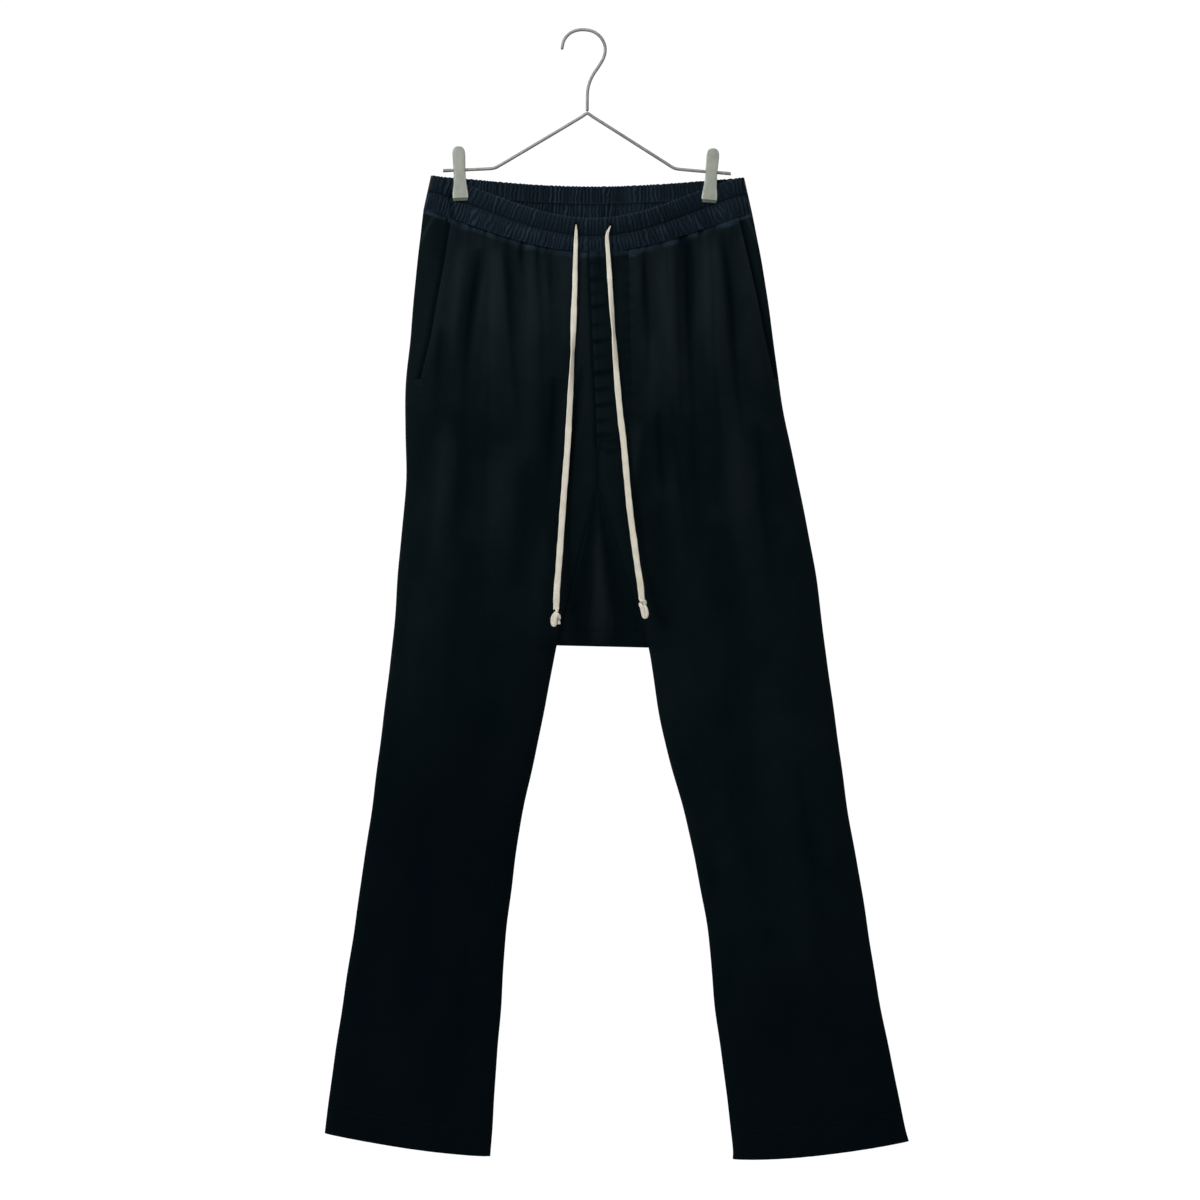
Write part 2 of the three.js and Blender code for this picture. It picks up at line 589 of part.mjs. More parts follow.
// Flat cord along a route, its broad face to the front whichever way the curve's frame starts
function flatCord(route) {
  const points = route.map((point) => new THREE.Vector3(...point));
  const curve = new THREE.CatmullRomCurve3(points, false, "centripetal");
  const start = curve.computeFrenetFrames(CORD_STEPS, false).normals[0];
  const across = Math.abs(start.x) > Math.abs(start.y);
  const [wide, deep] = across ? [CORD_WIDTH, CORD_THICKNESS] : [CORD_THICKNESS, CORD_WIDTH];
  const section = new THREE.Shape();
  section.absellipse(0, 0, wide / 2, deep / 2, 0, 2 * Math.PI, false, 0);
  return new THREE.ExtrudeGeometry(section, {
    steps: CORD_STEPS, extrudePath: curve, curveSegments: 4, bevelEnabled: false,
  });
}

// One plate of a clip, standing at its outline and leaning away from the cloth towards its top
function clipPlate(face, drop) {
  const rows = PLATE_OUTLINE;
  const sheet = (offset) => rows.map(({ z, half }, i) => {
    const height = i === 0 ? z - drop : z;
    const y = face * (JAW_GAP + offset + CLIP_SPREAD * (z + JAW_REACH));
    return [-1, -PLATE_FLAT, PLATE_FLAT, 1].map((t) => new THREE.Vector3(half * t, y, height));
  });
  return wall(sheet(PLATE), sheet(0));
}

function clipBush() {
  const bore = WIRE / 2 + FIT;
  const profile = [
    [bore, -BUSH_LENGTH / 2], [BUSH_RADIUS, -BUSH_LENGTH / 2], [BUSH_RADIUS, BUSH_LENGTH / 2],
    [bore, BUSH_LENGTH / 2], [bore, -BUSH_LENGTH / 2],
  ];
  const bush = new THREE.LatheGeometry(profile.map(([r, y]) => new THREE.Vector2(r, y)), BUSH_SIDES);
  return bush.rotateZ(Math.PI / 2);
}

function buttonhole() {
  const { halfWidth, halfHeight, slotWidth, slotHeight, thickness } = BUTTONHOLE;
  const ring = new THREE.Shape();
  ring.absellipse(0, 0, halfWidth, halfHeight, 0, 2 * Math.PI, false, 0);
  const slot = new THREE.Path();
  slot.absellipse(0, 0, slotWidth, slotHeight, 0, 2 * Math.PI, true, 0);
  ring.holes.push(slot);
  const plate = new THREE.ExtrudeGeometry(ring, { depth: thickness, curveSegments: 7, bevelEnabled: false });
  return plate.rotateX(Math.PI / 2);
}

addPiece("front_right", panel(RIGHT, FRONT, POCKET_RIGHT), bodyCloth());
addPiece("front_left", panel(LEFT, FRONT, POCKET_LEFT), bodyCloth());
addPiece("back_right", panel(RIGHT, BACK, null), bodyCloth());
addPiece("back_left", panel(LEFT, BACK, null), bodyCloth());
addPiece("crotch_gusset", gusset(), bodyCloth());
addPiece("pocket_facing_right", pocketFacing(RIGHT, POCKET_RIGHT), bodyCloth());
addPiece("pocket_facing_left", pocketFacing(LEFT, POCKET_LEFT), bodyCloth());
addPiece("fly_placket", flyPlacket(), bodyCloth());
addPiece("waistband_front", waistband(FRONT), bandCloth());
addPiece("waistband_back", waistband(BACK), bandCloth());

addPiece("drawstring_right", flatCord(CORD_RIGHT), cordCotton());
addPiece("drawstring_left", flatCord(CORD_LEFT), cordCotton());
for (const { name, x, y, z, wide, deep, tall } of KNOTS) {
  const knot = addPiece(`knot_${name}`, new THREE.IcosahedronGeometry(1, 2), cordCotton());
  knot.position.set(x, y, z);
  knot.scale.set(wide, deep, tall);
}
for (const { name, x, y, z, lean } of BUTTONHOLES) {
  const ring = addPiece(`buttonhole_${name}`, buttonhole(), stitching());
  ring.position.set(x, y, z);
  ring.rotation.y = lean;
}

addPiece("hanger_hook", wire(HOOK, HOOK_STEPS), wireSteel());
addPiece("hanger_arms", wire(ARMS, ARM_STEPS), wireSteel());
for (const { name, x, z, lean } of CLIPS) {
  const clip = new THREE.Group();
  clip.position.set(x, 0, z);
  clip.rotation.y = lean;
  model.add(clip);
  const front = addPiece(`clip_front_${name}`, clipPlate(FRONT, 0), clipSteel());
  const back = addPiece(`clip_back_${name}`, clipPlate(BACK, LIP_DROP), clipSteel());
  const bush = addPiece(`clip_spring_${name}`, clipBush(), clipSteel());
  clip.add(front, back, bush);
}

export default model;
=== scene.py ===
import math
from types import SimpleNamespace

import bpy
import numpy as np
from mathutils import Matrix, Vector


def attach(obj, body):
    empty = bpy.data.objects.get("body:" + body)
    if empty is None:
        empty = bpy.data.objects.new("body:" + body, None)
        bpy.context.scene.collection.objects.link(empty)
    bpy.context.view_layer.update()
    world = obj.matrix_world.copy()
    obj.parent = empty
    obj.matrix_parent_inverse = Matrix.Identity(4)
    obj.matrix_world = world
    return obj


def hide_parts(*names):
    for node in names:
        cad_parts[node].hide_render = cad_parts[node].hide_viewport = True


# Looks of harem pants that hang by two clips from a wire trouser hanger.
# Sizes are millimetres until mesh_of turns them into metres. The cords' routes are in metres.
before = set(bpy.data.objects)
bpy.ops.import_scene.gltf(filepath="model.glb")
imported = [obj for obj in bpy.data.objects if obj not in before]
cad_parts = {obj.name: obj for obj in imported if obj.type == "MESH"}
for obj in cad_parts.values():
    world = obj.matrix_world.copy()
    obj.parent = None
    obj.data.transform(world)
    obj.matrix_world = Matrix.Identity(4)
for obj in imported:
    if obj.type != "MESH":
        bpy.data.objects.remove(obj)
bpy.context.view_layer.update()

MM = 0.001
FRONT, BACK = -1, 1
FACE_NAME = {FRONT: "front", BACK: "back"}

# Camera: the photograph's scale and the point that its middle looks at
MM_PER_PIXEL = 1.1
PICTURE_PIXELS = 1200
PICTURE_MIDDLE = (17.0, -625.6)
CAMERA_DISTANCE = 5000
SENSOR = 36

# Studio
FLOOR_Z = -1450
SOFT_LIGHT = 0.24

# Cloth: the gap between front and back, how the back is shifted and lapped over it, and the walls
SEAM = 0.06
BACK_SEAM_SHIFT = 0.3
SEAM_LAP = 0.4
CLOTH = 1.2
HEM_WALL = 2.2
BAND_WALL = 2.0

# Waist seen from above: half its depth at a clip and in the loop outside it, the curves between, half of
# the clip's flat stretch as a share of the width, and how much the cloth sags from the clips
GRIP = 2.15
SIDE_LOOP = 2.6
SIDE_POWER = 6
BELLY_POWER = 1.2
CLIP_FLAT = 0.058
PINCH_FADE = 2
SAG_TOP = 1.45
SAG_BOTTOM = 1.2
SAG_BACK = 1.05
BAND_TOP_FRONT_Z = -207.6
BAND_TOP_BACK_Z = -169.6

# Cross-sections of body and legs: how square they are, how the yoke closes to two tubes at the crotch,
# where folds fade out, and about how far apart the sections are at the waist
TUBE_POWER = 2.4
FOLD_POWER = 1.6
SIDE_CALM = 0.02
CALM_EDGE = 0.14
FOLD_RUN = 0.6
STATION_DROP = 55
# Columns of points across a panel, and across the strip that a pocket's opening leaves out
BODY_COLUMNS = 116
POCKET_COLUMNS = 8


def named(columns, rows):
    """Columns of numbers by name, from rows."""
    names = columns.split()
    return {name: np.array([row[i] for row in rows], float) for i, name in enumerate(names)}


# Sections of each leg from the waist seam to the hem, the same as the solids have
SECTION = "outer_x outer_z inner_x front_z back_z front back"
RIGHT_ROWS = named(SECTION, [
    (-176, -196.1, 9.4, -244.2, -209.3, 27, 13),
    (-182.6, -253.8, 10.5, -295.6, -275, 31, 21),
    (-189.8, -328.6, 12.1, -356.1, -345, 34, 30),
    (-196.4, -405.6, 13.8, -422.1, -418, 34, 36),
    (-195.3, -491.4, 13.8, -500.2, -500.2, 32, 34),
    (-200.8, -559.6, -1.5, -560.7, -560.7, 30, 31),
    (-206.3, -625.6, -17.8, -625.6, -625.6, 27, 28),
    (-211.2, -678.4, -30.6, -676, -676, 24, 25),
    (-221.7, -768.6, -47.9, -767.5, -767.5, 22, 23),
    (-234.9, -867.6, -69.9, -870.9, -870.9, 20, 21),
    (-249.2, -966.6, -84.2, -973.2, -973.2, 18, 19),
    (-264.6, -1065.6, -91.9, -1076.6, -1076.6, 17, 17),
    (-281.1, -1183.3, -101.6, -1208.6, -1208.6, 16, 16),
    (-284.9, -1211.9, -103.4, -1237.2, -1237.2, 16, 16),
])
LEFT_ROWS = named(SECTION, [
    (183.2, -199.9, 9.4, -244.2, -209.3, 27, 13),
    (193.6, -253.8, 10.5, -295.6, -275, 31, 21),
    (205.2, -328.6, 12.1, -356.1, -345, 34, 30),
    (215.6, -405.6, 13.8, -422.1, -418, 34, 36),
    (233.2, -491.4, 13.8, -500.2, -500.2, 32, 34),
    (246.4, -559.6, 33, -560.7, -560.7, 30, 31),
    (257.4, -625.6, 53.6, -625.6, -625.6, 27, 28),
    (264, -678.4, 70.4, -678.4, -678.4, 24, 25),
    (276.1, -768.6, 84.7, -767.5, -767.5, 22, 23),
    (290.4, -867.6, 112.2, -870.9, -870.9, 20, 21),
    (307.5, -966.6, 133.1, -973.2, -973.2, 18, 19),
    (323.4, -1065.6, 143.6, -1076.6, -1076.6, 17, 17),
    (347.9, -1188.8, 161.2, -1209.7, -1209.7, 16, 16),
    (355.9, -1220.7, 162.8, -1240.5, -1240.5, 16, 16),
])
FORK, CROTCH, HEM_LINE, HEM = 4, 7, 12, 13
# The sides of the dressed trousers stand out a little past the solids
SIDE_FULLNESS = 1.2
RIGHT_ROWS["outer_x"] -= SIDE_FULLNESS
LEFT_ROWS["outer_x"] += SIDE_FULLNESS
RIGHT = SimpleNamespace(
    name="right", side=-1, rows=RIGHT_ROWS, band_top=(-169, -158.6), clip_at=0.19, hem_bow=0.5,
    pocket=named("station share", [(0, 0.165), (1, 0.15), (2, 0.115), (2.7, 0.08), (4, 0.03)]),
)
LEFT = SimpleNamespace(
    name="left", side=1, rows=LEFT_ROWS, band_top=(175.6, -160.8), clip_at=0.21, hem_bow=1,
    pocket=named("station share", [(0, 0.09), (1, 0.075), (2, 0.05), (2.7, 0.025), (4, 0.015)]),
)
POCKET_END = 2.7


def folds(front, back):
    """A table of folds, from rows for the front and rows for the back."""
    rows = [(FRONT, *row) for row in front] + [(BACK, *row) for row in back]
    return named("face top_x top_z bottom_x bottom_z depth width skew", rows)


# Main folds, the same as the solids have, and softer ones between them.
# Depth is positive in a trough and negative on a ridge, and skew makes one side of it steeper.
FOLDS = folds([
    (-116, -240, -134, -395, 6, 9, -0.45), (-86, -233, -74, -362, 4, 8, 0.4),
    (-36, -243, -34, -307, 2.4, 7, 0.3), (-155, -330, -162, -410, 3, 9, 0.2),
    (-31, -384, -40, -511, 3.5, 9, -0.3), (68, -244, 70, -346, 3, 7, 0.45),
    (114, -226, 118, -380, 6, 9, -0.45), (152, -217, 173, -405, 4.5, 9, 0.45),
    (83, -423, 86, -505, 2.5, 8, 0.4), (-120, -560, -150, -820, 2.5, 16, 0),
    (150, -540, 190, -820, 2.5, 16, 0),
], [
    (-118, -212, -130, -380, 5.5, 10, 0.4), (-60, -215, -52, -330, 3.5, 8, -0.4),
    (62, -215, 58, -345, 3.5, 8, 0.4), (116, -214, 128, -390, 5.5, 10, -0.4),
    (150, -520, 185, -800, 3, 16, 0), (-110, -520, -145, -800, 3, 16, 0),
])
SOFT_FOLDS = folds([
    (-135, -236, -147, -400, -2.2, 7, 0.2), (-98, -238, -104, -440, -2.2, 9, 0.2),
    (-60, -244, -55, -450, -1.6, 10, 0), (-69, -236, -68, -272, 1.8, 3, 0),
    (-50, -240, -48, -300, 1.2, 4, 0.2), (-3, -370, -22, -520, 1.8, 6, -0.4),
    (-20, -400, -32, -560, -1.2, 8, 0), (-150, -430, -168, -640, -2, 11, 0.3),
    (-130, -420, -142, -600, 1.8, 12, 0), (-60, -470, -72, -650, 1.6, 14, 0.2),
    (-90, -450, -100, -640, -1.6, 14, 0), (92, -236, 97, -412, -2.2, 9, 0),
    (134, -224, 148, -430, -2.4, 9, 0.2), (163, -212, 160, -250, 1.4, 3, 0),
    (170, -209, 168, -246, 1.2, 3, 0), (62, -430, 47, -520, -2.2, 7, -0.3),
    (74, -330, 78, -440, -1.3, 8, 0), (120, -420, 128, -620, 2, 12, -0.2),
    (160, -400, 182, -640, -2, 13, 0), (190, -430, 214, -650, 1.6, 10, 0.2),
    (84, -520, 96, -690, 1.6, 12, 0), (64, -560, 78, -690, -1.4, 8, 0),
    (-44, -560, -54, -700, -1.3, 8, 0), (-180, -600, -205, -900, -1.6, 12, 0.2),
    (-95, -640, -125, -900, 1.6, 18, 0), (-165, -820, -195, -1120, 1.5, 20, 0),
    (155, -700, 190, -1000, 2, 18, -0.2), (205, -720, 250, -1100, -1.8, 22, 0),
    (235, -800, 280, -1150, 1.4, 16, 0), (128, -890, 150, -960, 1.5, 8, 0.3),
    (-210, -1000, -228, -1180, -1.2, 16, 0), (-130, -1000, -135, -1190, 1.2, 14, 0),
], [
    (-90, -216, -96, -400, -2, 9, 0), (-20, -218, -24, -380, 1.8, 9, 0.2),
    (30, -218, 34, -372, 1.8, 8, -0.2), (88, -216, 96, -410, -2, 9, 0),
    (-150, -420, -172, -680, 2, 12, 0), (172, -420, 205, -680, 2, 12, 0),
    (-40, -420, -60, -640, 1.8, 14, 0.3), (50, -430, 84, -650, 1.8, 14, -0.3),
    (-100, -620, -130, -900, -1.6, 16, 0), (140, -620, 180, -900, -1.6, 16, 0),
    (-165, -850, -190, -1150, 1.6, 18, 0), (210, -850, 245, -1150, 1.6, 18, 0),
])
# Narrow creases that run down the main troughs from the waist seam
CREASES = folds([
    (-116, -238, -136, -450, 1.7, 4, 0), (-86, -232, -70, -440, 1.5, 4, 0),
    (-69, -238, -64, -330, 0.9, 3, 0), (-50, -240, -44, -420, 0.9, 3, 0),
    (-36, -242, -34, -330, 1.2, 3, 0), (-104, -240, -108, -520, 0.9, 4, 0),
    (-155, -320, -164, -450, 1.2, 4, 0), (-31, -380, -42, -540, 1.4, 4, 0),
    (-2, -372, -24, -520, 1.1, 4, 0), (66, -243, 71, -400, 1.7, 3.5, 0),
    (92, -236, 95, -330, 0.8, 3, 0), (104, -232, 106, -470, 0.8, 4, 0),
    (114, -225, 120, -460, 1.8, 4, 0), (138, -222, 150, -500, 0.9, 4, 0),
    (152, -216, 178, -470, 1.7, 4, 0), (83, -420, 87, -530, 1.2, 4, 0),
    (96, -400, 118, -620, 0.9, 5, 0),
], [
    (-118, -211, -130, -385, 1.5, 4, 0), (-60, -214, -52, -335, 1.2, 4, 0),
    (62, -214, 58, -350, 1.2, 4, 0), (116, -213, 128, -395, 1.5, 4, 0),
])
SHORT_GATHERS = 17

# Fly: its edges at each section, its curved stitching and the puckers along it
PLACKET = named("station left right", [
    (0, 5.2, 48), (1, 7, 49), (2, 9.5, 50), (2.8, 12, 50.5), (3.2, 13, 46), (3.4, 13.8, 38), (3.5, 14.2, 30),
])
# The fly's lowest section, and the middle and lower end of its line of stitches
PLACKET_END = 3.5
J_STITCH_X = 50.2
J_STITCH_END_Z = -436
GUSSET_CREASE_Z = -658.6
POCKET_TACK = (2.66, 2.78)
FLY_PUCKERS = named("z depth reach", [
    (-258, 0.5, 14), (-276, 0.6, 20), (-291, 0.4, 12), (-306, 0.7, 22), (-326, 0.5, 16), (-344, 0.8, 24),
    (-361, 0.5, 15), (-379, 0.9, 26), (-397, 0.6, 20), (-414, 0.7, 24), (-431, 0.5, 18), (-447, 0.6, 20),
])

# Share of the waistband's height at which its two tiers are stitched apart
TIER_LINE = 0.49
RIBS = 130
RIBS_START = 220
# Where a fold of the band is pressed in under the clip at the wearer's right
NOTCH_X, NOTCH_Z = -146, -200

# Cords: the solids' routes in metres, which start a little lower here, inside the buttonholes
CORD_RIGHT = [
    (-0.0092, -0.0301, -0.2152), (-0.0091, -0.0303, -0.2195), (-0.0092, -0.0304, -0.2265),
    (-0.0096, -0.0306, -0.24), (-0.0102, -0.031, -0.262), (-0.0106, -0.0318, -0.285),
    (-0.0116, -0.0333, -0.312), (-0.0124, -0.0351, -0.34), (-0.0136, -0.0359, -0.368),
    (-0.015, -0.0359, -0.395), (-0.0168, -0.0359, -0.428), (-0.0187, -0.0359, -0.461),
    (-0.0212, -0.0359, -0.494), (-0.0237, -0.0359, -0.527), (-0.026, -0.0359, -0.56),
    (-0.0283, -0.0359, -0.592), (-0.0302, -0.0359, -0.615), (-0.0309, -0.0359, -0.636),
]
CORD_LEFT = [
    (0.0285, -0.0298, -0.2168), (0.0268, -0.0299, -0.2202), (0.0251, -0.03, -0.2246),
    (0.0247, -0.0302, -0.232), (0.0262, -0.0308, -0.252), (0.0283, -0.0321, -0.285),
    (0.0304, -0.0345, -0.315), (0.0326, -0.0368, -0.345), (0.0344, -0.0376, -0.37),
    (0.0364, -0.0377, -0.395), (0.0396, -0.0377, -0.428), (0.0426, -0.0377, -0.452),
    (0.046, -0.0377, -0.49), (0.0496, -0.0377, -0.527), (0.054, -0.0377, -0.56),
    (0.0584, -0.0377, -0.592), (0.061, -0.0377, -0.608), (0.0626, -0.0377, -0.6246),
]
CORD_WIDTH = 7
CORD_THICKNESS = 1.9
CORD_SIDES = 20
CORD_SQUARENESS = 0.75
CORD_FULLNESS = named("at share", [
    (0, 0.14), (0.006, 0.26), (0.02, 0.48), (0.05, 0.66), (0.12, 0.74), (0.25, 0.93), (1, 0.97),
])
# How far each cord has turned, in degrees, at shares of its length
RIGHT_TWISTS = [(0, 0), (0.24, 0), (0.335, 62), (0.41, 34), (0.55, 0), (0.8, 8), (1, 0)]
LEFT_TWISTS = [(0, 10), (0.1, 0), (0.2, 36), (0.28, 60), (0.4, 20), (0.5, 0), (0.75, -10), (1, 0)]
KNOT_RIGHT = (-31.4, -35.9, -645.6)
KNOT_LEFT = (63.6, -37.7, -634.8)
KNOT_STRAND = (2.0, 1.6)
KNOT_SIDES = 14
# Buttonholes: side, place and lean, then the inner and outer half sizes of the thread round them
BUTTONHOLES = [("right", -9.2, -27.97, -214.6, 0), ("left", 28.4, -27.6, -216.2, 0.12)]
HOLE_STITCHES = 46
HOLE_INNER = (1.4, 2.7)
HOLE_OUTER = (2.9, 4.2)

# Hanger: wire paths in its plane, and the clips
HOOK = [
    (-25, -20.4), (-22.8, -10.5), (-17, -3), (-9, 0.8), (0.5, 1.6), (10, -0.6), (17.4, -6.2), (21.8, -14),
    (22.7, -22), (20.6, -30), (15.4, -39), (10, -47), (6, -55), (3.8, -63), (3.1, -71), (3, -80), (3, -88.4),
]
ARMS = [
    (-155.7, -153.4), (-138, -152.7), (-120, -152), (-104, -151.2), (-98.6, -150.2), (-92.5, -147.2),
    (-60, -128), (-30, -110.2), (-4, -94.6), (-0.6, -92.2), (3, -90.4), (6.6, -92.2), (10, -94.6),
    (40, -113.6), (70, -132.7), (90.5, -145.7), (95.5, -148.9), (101.5, -151.4), (118, -153.1),
    (139.6, -154.9), (161.2, -156.7),
]
WIRE = 3.5
# Stretches at the arms' ends that are knurled
KNURLED = [(-155.2, -147.6), (150.2, 160.4)]
KNURL_PITCH = 1.45
KNURL_WIRE = 0.42

# Clips: side, where the wire passes through them, and lean
CLIPS = [("right", -137.6, -152.7, -0.042), ("left", 139.6, -154.9, 0.083)]
PLATE = 1.1
PLATE_OUTLINE = named("z half", [
    (-34, 8.6), (-27, 8.9), (-12, 7.4), (-2, 6.9), (8, 7.2), (18, 7.4), (22, 6.6), (24.6, 4.6), (25.6, 1.8),
])
# The back plate's lip hangs lower. The lip is coloured darker as painted shade, and the bevelled sides
# lighter as painted highlights.
LIP_DROP = 2.4
LIP_Z = -31.5
BEVEL = 0.78
BEVEL_TOP_Z = -8
# Half the gap at the jaw, how the plates spread upward from it, and how far below the wire it is
JAW_GAP = 3.85
CLIP_SPREAD = 0.03
JAW_REACH = 34
FLANGE = 2.2
COIL_TURNS = 9
COIL_RADIUS = 3.9
COIL_WIRE = 1.25
COIL_LENGTH = 10.6


# Small helpers for curves and steps

def smoothstep(value, start, end):
    t = np.clip((value - start) / (end - start), 0, 1)
    return t * t * (3 - 2 * t)


def lerp(a, b, t):
    return a + (b - a) * t


def bell(off, width):
    """A smooth bump: 1 in its middle, and small beyond its width."""
    return np.exp(-((off / width) ** 2))


def unit(vectors):
    return vectors / np.maximum(np.linalg.norm(vectors, axis=-1, keepdims=True), 1e-9)


def run_along(line):
    """Distance along a line at each of its points."""
    return np.concatenate([[0], np.cumsum(np.linalg.norm(np.diff(line, axis=0), axis=1))])


def tilt(lean):
    """A matrix that turns rows of points in the picture's plane."""
    return np.array([[math.cos(lean), 0, -math.sin(lean)], [0, 1, 0], [math.sin(lean), 0, math.cos(lean)]])


def loop(sides, power=1.0):
    """Cosines and sines round a section. A power below 1 makes it squarer."""
    angle = np.arange(sides) / sides * 2 * math.pi
    return [np.sign(wave) * np.abs(wave) ** power for wave in (np.cos(angle), np.sin(angle))]


def smooth(values, place):
    """A column of a table along a smooth curve, at fractional rows."""
    last = len(values) - 1
    i = np.clip(np.floor(place).astype(int), 0, last - 1)
    t = place - i
    a, b, c, d = (values[np.clip(i + k, 0, last)] for k in (-1, 0, 1, 2))
    return b + 0.5 * t * (c - a + t * (2 * a - 5 * b + 4 * c - d + t * (3 * (b - c) + d - a)))


def straight(values, place):
    return np.interp(place, np.arange(len(values)), values)


def ripple(x, z, length, seed, stretch=1.0):
    """Smooth seeded unevenness between about -1 and 1, with waves of about that length."""
    waves = np.random.default_rng(seed)
    total = 0
    for _ in range(7):
        angle, phase = waves.uniform(0, math.pi), waves.uniform(0, 2 * math.pi)
        size = 2 * math.pi / (length * waves.uniform(0.7, 1.5))
        total = total + np.sin(size * (x * math.cos(angle) + z / stretch * math.sin(angle)) + phase)
    return total / 3.2


# Shape of the trousers

def waist_depth(leg, face, share):
    """How far the cloth stands out in front or behind at the waist, where each clip pinches it flat."""
    flat_start = leg.clip_at - CLIP_FLAT
    s = np.clip(share / flat_start, 0, 1)
    outside = GRIP * np.sqrt(1 - (1 - s) ** SIDE_POWER) + SIDE_LOOP * np.sin(math.pi * s)
    belly = leg.rows[FACE_NAME[face]][0]
    t = np.clip((share - leg.clip_at - CLIP_FLAT) / (1 - leg.clip_at - CLIP_FLAT), 0, 1)
    inside = lerp(GRIP, belly, np.sin(t * math.pi / 2) ** BELLY_POWER)
    return np.where(share < flat_start, outside, inside)


def openness(station):
    """1 in the yoke, where a panel meets the other face only at the side seam, and 0 from the crotch down."""
    t = np.clip((station - FORK) / (CROTCH - FORK), 0, 1)
    return np.sqrt(1 - t ** FOLD_POWER)


def folds_of(table, face, x, z, crisp=0.0):
    """Depth of a table's folds. crisp adds a narrow crease that opens downward along each trough."""
    total = np.zeros(np.broadcast(x, z).shape)
    for i in np.flatnonzero(table["face"] == face):
        top_z, bottom_z = table["top_z"][i], table["bottom_z"][i]
        along = np.clip((z - top_z) / (bottom_z - top_z), 0, 1)
        middle = lerp(table["top_x"][i], table["bottom_x"][i], along)
        off = x - middle + 1.2 * np.sin(z / 31 + i)
        width = table["width"][i] * (1 + table["skew"][i] * np.tanh(off / table["width"][i]))
        total = total + table["depth"][i] * np.sin(math.pi * along ** FOLD_RUN) * bell(off, width)
        if crisp and table["depth"][i] > 0:
            narrow = table["width"][i] * (0.16 + 0.55 * along)
            run = smoothstep(along, 0, 0.03) * (1 - along) ** 0.8
            total = total + crisp * table["depth"][i] * run * np.exp(-(np.abs(off / narrow) ** 1.4))
    return total


def short_gathers(leg, face, x, below):
    """Small creases that hang from the waist seam, uneven in place, length and depth."""
    dice = np.random.default_rng(11 if leg is RIGHT else 23 if face == FRONT else 31)
    total = np.zeros(np.broadcast(x, below).shape)
    low, high = sorted((leg.rows["outer_x"][0] * 0.8, 16 * leg.side))
    for _ in range(SHORT_GATHERS):
        middle, long = dice.uniform(low, high), dice.uniform(18, 62)
        depth, width = dice.uniform(0.7, 1.7), dice.uniform(2.2, 4.2)
        fade = np.clip(1 - below / long, 0, 1) ** 1.5
        total = total + depth * fade * bell(x - middle - below * dice.uniform(-0.06, 0.06), width)
    return total


def pocket_share(leg, station):
    """How far in from the side seam the pocket's edge lies."""
    return np.interp(station, leg.pocket["station"], leg.pocket["share"])


def body_grid(leg, face, station, share, fine=True):
    """Points of a front or back: station runs down the leg, share inward from the side seam."""
    rows = leg.rows
    column = rows[f"{FACE_NAME[face]}_z"]
    above = station < CROTCH
    inner_x = np.where(above, straight(rows["inner_x"], station), smooth(rows["inner_x"], station))
    inner_x = inner_x + leg.side * SEAM / 2
    if face == BACK:
        inner_x = inner_x + BACK_SEAM_SHIFT * (1 - smoothstep(station, FORK, FORK + 1))
    inner_z = np.where(above, straight(column, station), smooth(column, station))
    outer_x, outer_z = smooth(rows["outer_x"], station), smooth(rows["outer_z"], station)
    sine = np.sin(share * math.pi / 2)
    top = 1 - smoothstep(station, 0, PINCH_FADE)
    bottom = leg.hem_bow * smoothstep(station, HEM_LINE - 1, HEM)
    sag = SAG_BOTTOM if face == FRONT else SAG_BACK
    drop = share + top * (sine ** sag - share) + bottom * (sine - share)
    opened = openness(station)
    half = np.sqrt(np.clip(1 - (1 - share) ** TUBE_POWER, 0, 1))
    tube = np.sqrt(np.clip(1 - np.abs(2 * share - 1) ** TUBE_POWER, 0, 1))
    full = smooth(rows[FACE_NAME[face]], station)
    x = lerp(outer_x, inner_x, share)
    z = lerp(outer_z, inner_z, drop)
    calm = smoothstep(share, SIDE_CALM, SIDE_CALM + CALM_EDGE) * smoothstep(1 - share, 0, CALM_EDGE)
    depth = lerp(full * lerp(tube, half, opened), waist_depth(leg, face, share), top)
    trough = folds_of(FOLDS, face, x, z) * calm
    small = 0
    if fine:
        soft_calm = smoothstep(share, 0, 0.1) * smoothstep(1 - share, 0, 0.05)
        below = station * STATION_DROP
        small = folds_of(SOFT_FOLDS, face, x, z, 0.4) + short_gathers(leg, face, x, below)
        small = small + folds_of(CREASES, face, x, z, 0.5)
        small = small + 0.55 * ripple(x, z, 70, 3, 2.4)
        small = small + 0.18 * ripple(x, z, 22, 5, 2) * smoothstep(station, 0, 1)
        small = small + seam_puckers(leg, face, station, share, x, z)
        small = small * soft_calm
        legs = smoothstep(station, CROTCH, CROTCH + 0.6)
        x = x + leg.side * (1 - share) ** 3 * 0.5 * ripple(x * 0, z, 95, 9) * smoothstep(station, 0.3, 1)
        x = x - leg.side * share ** 3 * 0.45 * ripple(x * 0, z, 80, 13) * legs
    depth = np.maximum(depth - trough - small, np.minimum(depth, CLOTH + 0.6))
    lower = smoothstep(station, FORK, FORK + 2)
    shade = trough * lerp(0.6, 0.35, lower) + small * lerp(1, 0.4, lower)
    return np.stack([x, face * (SEAM / 2 + depth), z], axis=-1), shade


